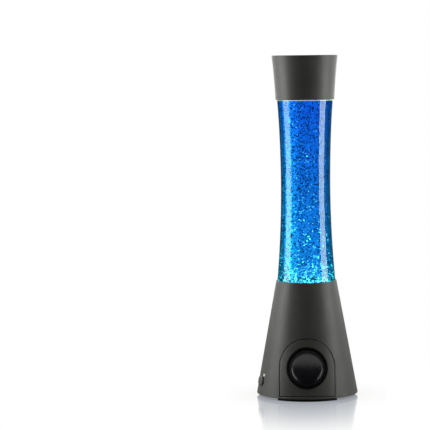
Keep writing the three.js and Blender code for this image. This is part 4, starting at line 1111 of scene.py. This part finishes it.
def make_speaker():
    """The trim ring, the surround with its half-round roll, and the dish, a bowl with a steeper edge."""
    trim = ring_section(TRIM_INNER, TRIM_OUTER, TRIM_BACK, TRIM_FRONT, 0, TRIM_ROUND)
    spun("trim_ring", trim, "base", "black_plastic", "speaker_trim_ring", speaker_frame, LARGE_SEGMENTS)

    def roll(half, base, height):
        return arc(ROLL_RADIUS, base, half, 180, 0, ROLL_STEPS, height)

    front = [(SURROUND_INNER, SURROUND_BACK), (SURROUND_INNER, SURROUND_FRONT)]
    front += roll(ROLL_HALF_WIDTH, SURROUND_FRONT, ROLL_HEIGHT)
    front += [(SURROUND_OUTER, SURROUND_FRONT), (SURROUND_OUTER, SURROUND_BACK)]
    back = roll(ROLL_HALF_WIDTH - ROLL_SIDE_WALL, SURROUND_BACK, ROLL_HEIGHT - ROLL_TOP_WALL)
    # Painted light: a lighter copy of the black rubber, so that the surround's roll shows as lit grey
    rubber = soft("surround rubber", (48, 48, 51), (60, 60, 63), 0.45)
    add_piece("surround", lathe(front + back[::-1], LARGE_SEGMENTS, speaker_frame), "base",
              "black_rubber", "speaker_surround", rubber)

    shares = [sqrt(share) for share in spread(0, 1, DISH_STEPS)]
    rises = [(1 - DISH_EDGE_SHARE) * share ** 2 + DISH_EDGE_SHARE * share ** DISH_EDGE_POWER
             for share in shares]
    front = [(DISH_RADIUS * share, DISH_MIDDLE + DISH_DEPTH * rise)
             for share, rise in zip(shares, rises)]
    back = [(radius, height - DISH_THICKNESS) for radius, height in front]
    spun("diaphragm_dish", front + back[::-1], "diaphragm", "cone_gloss", "speaker_cone",
         speaker_frame, LARGE_SEGMENTS)


# The side button's sizes, in the button's frame, and those of the other small fittings
KEY_FLANGE = 1.1
KEY_FLANGE_BACK = -4.3
KEY_FLANGE_FRONT = -3.7
KEY_FRONT = 1.2
KEY_ROUND = 0.7
KEY_CROWN = 0.12
KEY_MIDDLE = 0.2
KEY_STEPS = 6
LENS_SEGMENTS = 48
INLET_SEGMENTS = 64
# Each corner's radius, place along the axis and round: the lens with its flange, and the inlet's
# barrel, flange, bore and pin
LENS_SECTION = (
    (0, -6.7, 0), (LENS_RADIUS, -6.7, 0.2), (LENS_RADIUS, -4.6, 0), (2.0, -4.6, 0.1),
    (2.0, -3.8, 0.1), (LENS_RADIUS, -3.8, 0), (LENS_RADIUS, 0.1, 0.25), (0, 0.45, 0),
)
INLET_SECTION = (
    (0, -10, 0), (INLET_RADIUS, -10, 0.3), (INLET_RADIUS, 0.3, 0), (6.8, 0.3, 0.15), (6.8, 1.5, 0.4),
    (3.2, 1.5, 0.3), (3.2, -7.0, 0), (1.0, -7.0, 0), (1.0, 0.5, 0.4), (0, 0.5, 0),
)


def make_button():
    """The side button, an oblong key with a round edge, a crown and a flange behind the wall, and the
    indicator's window above it."""
    def row(inset, height):
        shape = stadium(BUTTON_WIDTH - 2 * inset, BUTTON_TALLNESS - 2 * inset)
        return [button_frame @ Vector((x, y, height)) for x, y in shape]

    side = KEY_FRONT - KEY_CROWN
    reach = BUTTON_TALLNESS / 2 - KEY_ROUND - KEY_MIDDLE
    rows = [row(-KEY_FLANGE, KEY_FLANGE_BACK), row(-KEY_FLANGE, KEY_FLANGE_FRONT),
            row(0, KEY_FLANGE_FRONT)]
    rows += [row(KEY_ROUND * across, side - KEY_ROUND * down) for across, down in round_edge(KEY_STEPS)]
    for share in spread(0, 1, KEY_STEPS, first=1):
        rows.append(row(KEY_ROUND + reach * share, side + KEY_CROWN * (1 - (1 - share) ** 2)))
    add_piece("button_key", capped(rows), "button", "shell_plastic", "side_button")

    place = button_frame @ Matrix.Translation((*LENS_PLACE, 0))
    add_piece("indicator_window", lathe(rounded(LENS_SECTION), LENS_SEGMENTS, place), "base",
              "white_plastic", "indicator_lens", lit_window())


FOOT_OUTER = 53.17
FOOT_INNER = 45.67
FOOT_ROUND = 0.6
FOOT_HALF_ANGLE = 38
FOOT_STEPS = 40


def make_feet():
    """Three arc pads with rounded edges."""
    section = ring_section(FOOT_INNER, FOOT_OUTER, 0, base_low.z, FOOT_ROUND)
    for name, azimuth in (("foot_front", 0), ("foot_left", 120), ("foot_right", -120)):
        turns = spread(-azimuth - FOOT_HALF_ANGLE, -azimuth + FOOT_HALF_ANGLE, FOOT_STEPS)
        pad = capped([upright(section, radians(turn)) for turn in turns])
        add_piece(name + "_pad", pad, "base", "black_rubber", name)


def make_inlet():
    spun("inlet_socket", rounded(INLET_SECTION), "base", "black_plastic", "power_inlet",
         inlet_frame, INLET_SEGMENTS)


# Bulb and reflector

REFLECTOR_MOUTH = 24
REFLECTOR_THROAT = 15
REFLECTOR_WALL = 0.8
BULB_WALL = 0.7
BULB_STEPS = 6
BULB_SEGMENTS = 64
# The bulb's outline, as shares of its height and of its radius
BULB_OUTLINE = (
    (0, 0.36), (0.12, 0.38), (0.29, 0.53), (0.5, 0.77), (0.67, 0.95), (0.78, 1), (0.84, 0.985),
    (0.91, 0.87), (0.97, 0.6), (1, 0.25),
)


def make_light_source():
    low, high = span("reflector")
    lip = high.z - REFLECTOR_WALL
    spun("reflector_shade", rounded([
        (REFLECTOR_MOUTH, high.z, SOFT_ROUND), (high.x, high.z, SLIGHT_ROUND),
        (high.x, lip, SLIGHT_ROUND), (REFLECTOR_MOUTH + REFLECTOR_WALL, lip, SOFT_ROUND),
        (REFLECTOR_THROAT + REFLECTOR_WALL, low.z, SLIGHT_ROUND),
        (REFLECTOR_THROAT, low.z, SLIGHT_ROUND),
    ]), "base", "spun_aluminium", "reflector")
    low, high = span("bulb_envelope")
    height = high.z - low.z
    line = [(high.x * radius, low.z + height * share) for share, radius in BULB_OUTLINE]
    outer = spline(line + [(0, high.z)], BULB_STEPS)
    inner = [(max(0, radius - BULB_WALL), level - BULB_WALL * (level - low.z) / height)
             for radius, level in outer]
    spun("bulb_glass", outer + inner[::-1], "bulb", "frosted_glass", "bulb_envelope",
         segments=BULB_SEGMENTS)


def spline(points, steps):
    """A smooth curve through points in a plane."""
    ends = [points[0]] + points + [points[-1]]
    line = []
    for i in range(1, len(ends) - 2):
        p0, p1, p2, p3 = (Vector(point) for point in ends[i - 1:i + 3])
        for k in range(steps):
            t = k / steps
            line.append(tuple(0.5 * (2 * p1 + (p2 - p0) * t + (2 * p0 - 5 * p1 + 4 * p2 - p3) * t ** 2
                                     + (3 * p1 - p0 - 3 * p2 + p3) * t ** 3)))
    line.append(points[-1])
    return line


# Glitter and the light below it

BULB_POWER = 0.012
BULB_LIGHT_HEIGHT = 110.0
BULB_LIGHT_WIDTH = 36.0

DARK_FLAKES = 4800
BRIGHT_FLAKES = 560
SETTLED_FLAKES = 560
SETTLED_DEPTH = 7.0
SETTLED_SHARE = 0.95
# Half the flakes' lengths and widths, and how much longer some grow
FLAKE_LENGTH = 0.65
DARK_GROWTH = 0.4
DARK_WIDTH_SHARE = 0.6
BRIGHT_GROWTH = 2.6
BRIGHT_WIDTH = 0.5
BRIGHT_SINKING = 3.0
SETTLED_LENGTH = 0.6
SETTLED_GROWTH = 0.9
# How bright the dullest of each kind is, from 0 to 1, and how much brighter some are. This sets both their
# foil's colour and their painted glow
BRIGHT_SHINE = 0.5
SETTLED_SHINE = 0.35
SHINE_RANGE = 0.5
# How far they keep from the fluid's floor, top and side
FLAKE_FLOOR = 2.5
FLAKE_CEILING = 1
FLAKE_MARGIN = 0.3
FLAKE_SEED = 7
FLAKE_CORNERS = 6
FLAKE_THICKNESS = 0.06
# Painted glow of the brighter flakes, standing in for the bulb's light on them
FLAKE_PAINTED_GLOW = 5.0
FLAKE_PAINTED_GLOW_COLOR = (0.7, 1.0, 0.8)


def make_glitter():
    """Thousands of thin flakes hanging in the fluid, each a closed six-sided chip. Dark ones are spread
    evenly, bright ones grow in number and length towards the bottom, and some have settled there. The
    bright and settled ones carry a painted glow in place of the bulb's light on them."""
    dice = random.Random(FLAKE_SEED)
    low = fluid_low.z + FLAKE_FLOOR
    depth = fluid_high.z - FLAKE_CEILING - low
    rim = circle(1, steps=FLAKE_CORNERS)
    chips = []
    shine = []

    def flake(height, half_length, half_width, bright):
        reach = bottle_radius(height) - GLASS_WALL - half_length - FLAKE_MARGIN
        distance = reach * sqrt(dice.random())
        turn = dice.random() * tau
        centre = Vector((distance * cos(turn), distance * sin(turn), height))
        tilt = Matrix.Rotation(dice.random() * tau, 3, "Z") \
            @ Matrix.Rotation(acos(2 * dice.random() - 1), 3, "X") \
            @ Matrix.Rotation(dice.random() * tau, 3, "Z")
        chips.append(capped([
            [centre + tilt @ Vector((half_length * x, half_width * y, level)) for x, y in rim]
            for level in (-FLAKE_THICKNESS / 2, FLAKE_THICKNESS / 2)
        ]))
        shine.extend([bright] * (2 * FLAKE_CORNERS))

    def brightness(least):
        return least + SHINE_RANGE * dice.random() ** 2

    for _ in range(DARK_FLAKES):
        half_length = FLAKE_LENGTH + DARK_GROWTH * dice.random()
        flake(low + depth * dice.random(), half_length, half_length * DARK_WIDTH_SHARE, 0)
    for _ in range(BRIGHT_FLAKES):
        share = dice.random() ** BRIGHT_SINKING
        half_length = FLAKE_LENGTH + BRIGHT_GROWTH * (1 - share) ** 4 * dice.random()
        flake(low + depth * share, half_length, BRIGHT_WIDTH, brightness(BRIGHT_SHINE))
    for _ in range(SETTLED_FLAKES):
        height = low - SETTLED_DEPTH * log(1 - SETTLED_SHARE * dice.random())
        half_length = SETTLED_LENGTH + SETTLED_GROWTH * dice.random()
        flake(height, half_length, BRIGHT_WIDTH, brightness(SETTLED_SHINE))

    points, faces = joined(*chips)
    mesh = bpy.data.meshes.new("glitter_flakes")
    mesh.from_pydata([point * MM for point in points], [], faces)
    attribute = mesh.attributes.new("shine", "FLOAT", "POINT")
    attribute.data.foreach_set("value", shine)
    piece = placed("glitter_flakes", mesh)
    mesh.materials.append(flake_material())
    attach(piece, "bottle")


def flake_material():
    """Foil: dark blue chips, and bright ones that mirror the lights and carry a painted glow in place of
    the bulb's light on them.
    """
    paint = Paint("glitter", linear(6, 40, 120), 0.28)
    shine = paint.add("Attribute", attribute_name="shine").outputs["Fac"]
    paint.shade(shine, linear(20, 52, 110), (0.75, 0.97, 1.0))
    paint.set("Metallic", shine)
    # Painted glow: the brighter flakes give off light, though they are no lamp
    paint.set("Emission Color", (*FLAKE_PAINTED_GLOW_COLOR, 1))
    paint.set("Emission Strength", paint.ramp(shine, 0.3, 1.0, 0, FLAKE_PAINTED_GLOW))
    return paint.material


def light_bulb():
    """The bulb's light: a small disc over it, shining up into the bottle."""
    light = area_light("bulb light", BULB_POWER, BULB_LIGHT_WIDTH * MM)
    light.location = (0, 0, BULB_LIGHT_HEIGHT * MM)
    light.rotation_euler = (pi, 0, 0)


bpy.context.scene.view_settings.view_transform = "Standard"
make_camera()
make_world()
make_floor()
dress_nodes()
make_housing()
make_panel()
make_cap()
make_bottle()
make_fittings()
make_speaker()
make_button()
make_feet()
make_inlet()
make_light_source()
make_glitter()
light_bulb()
make_softboxes()
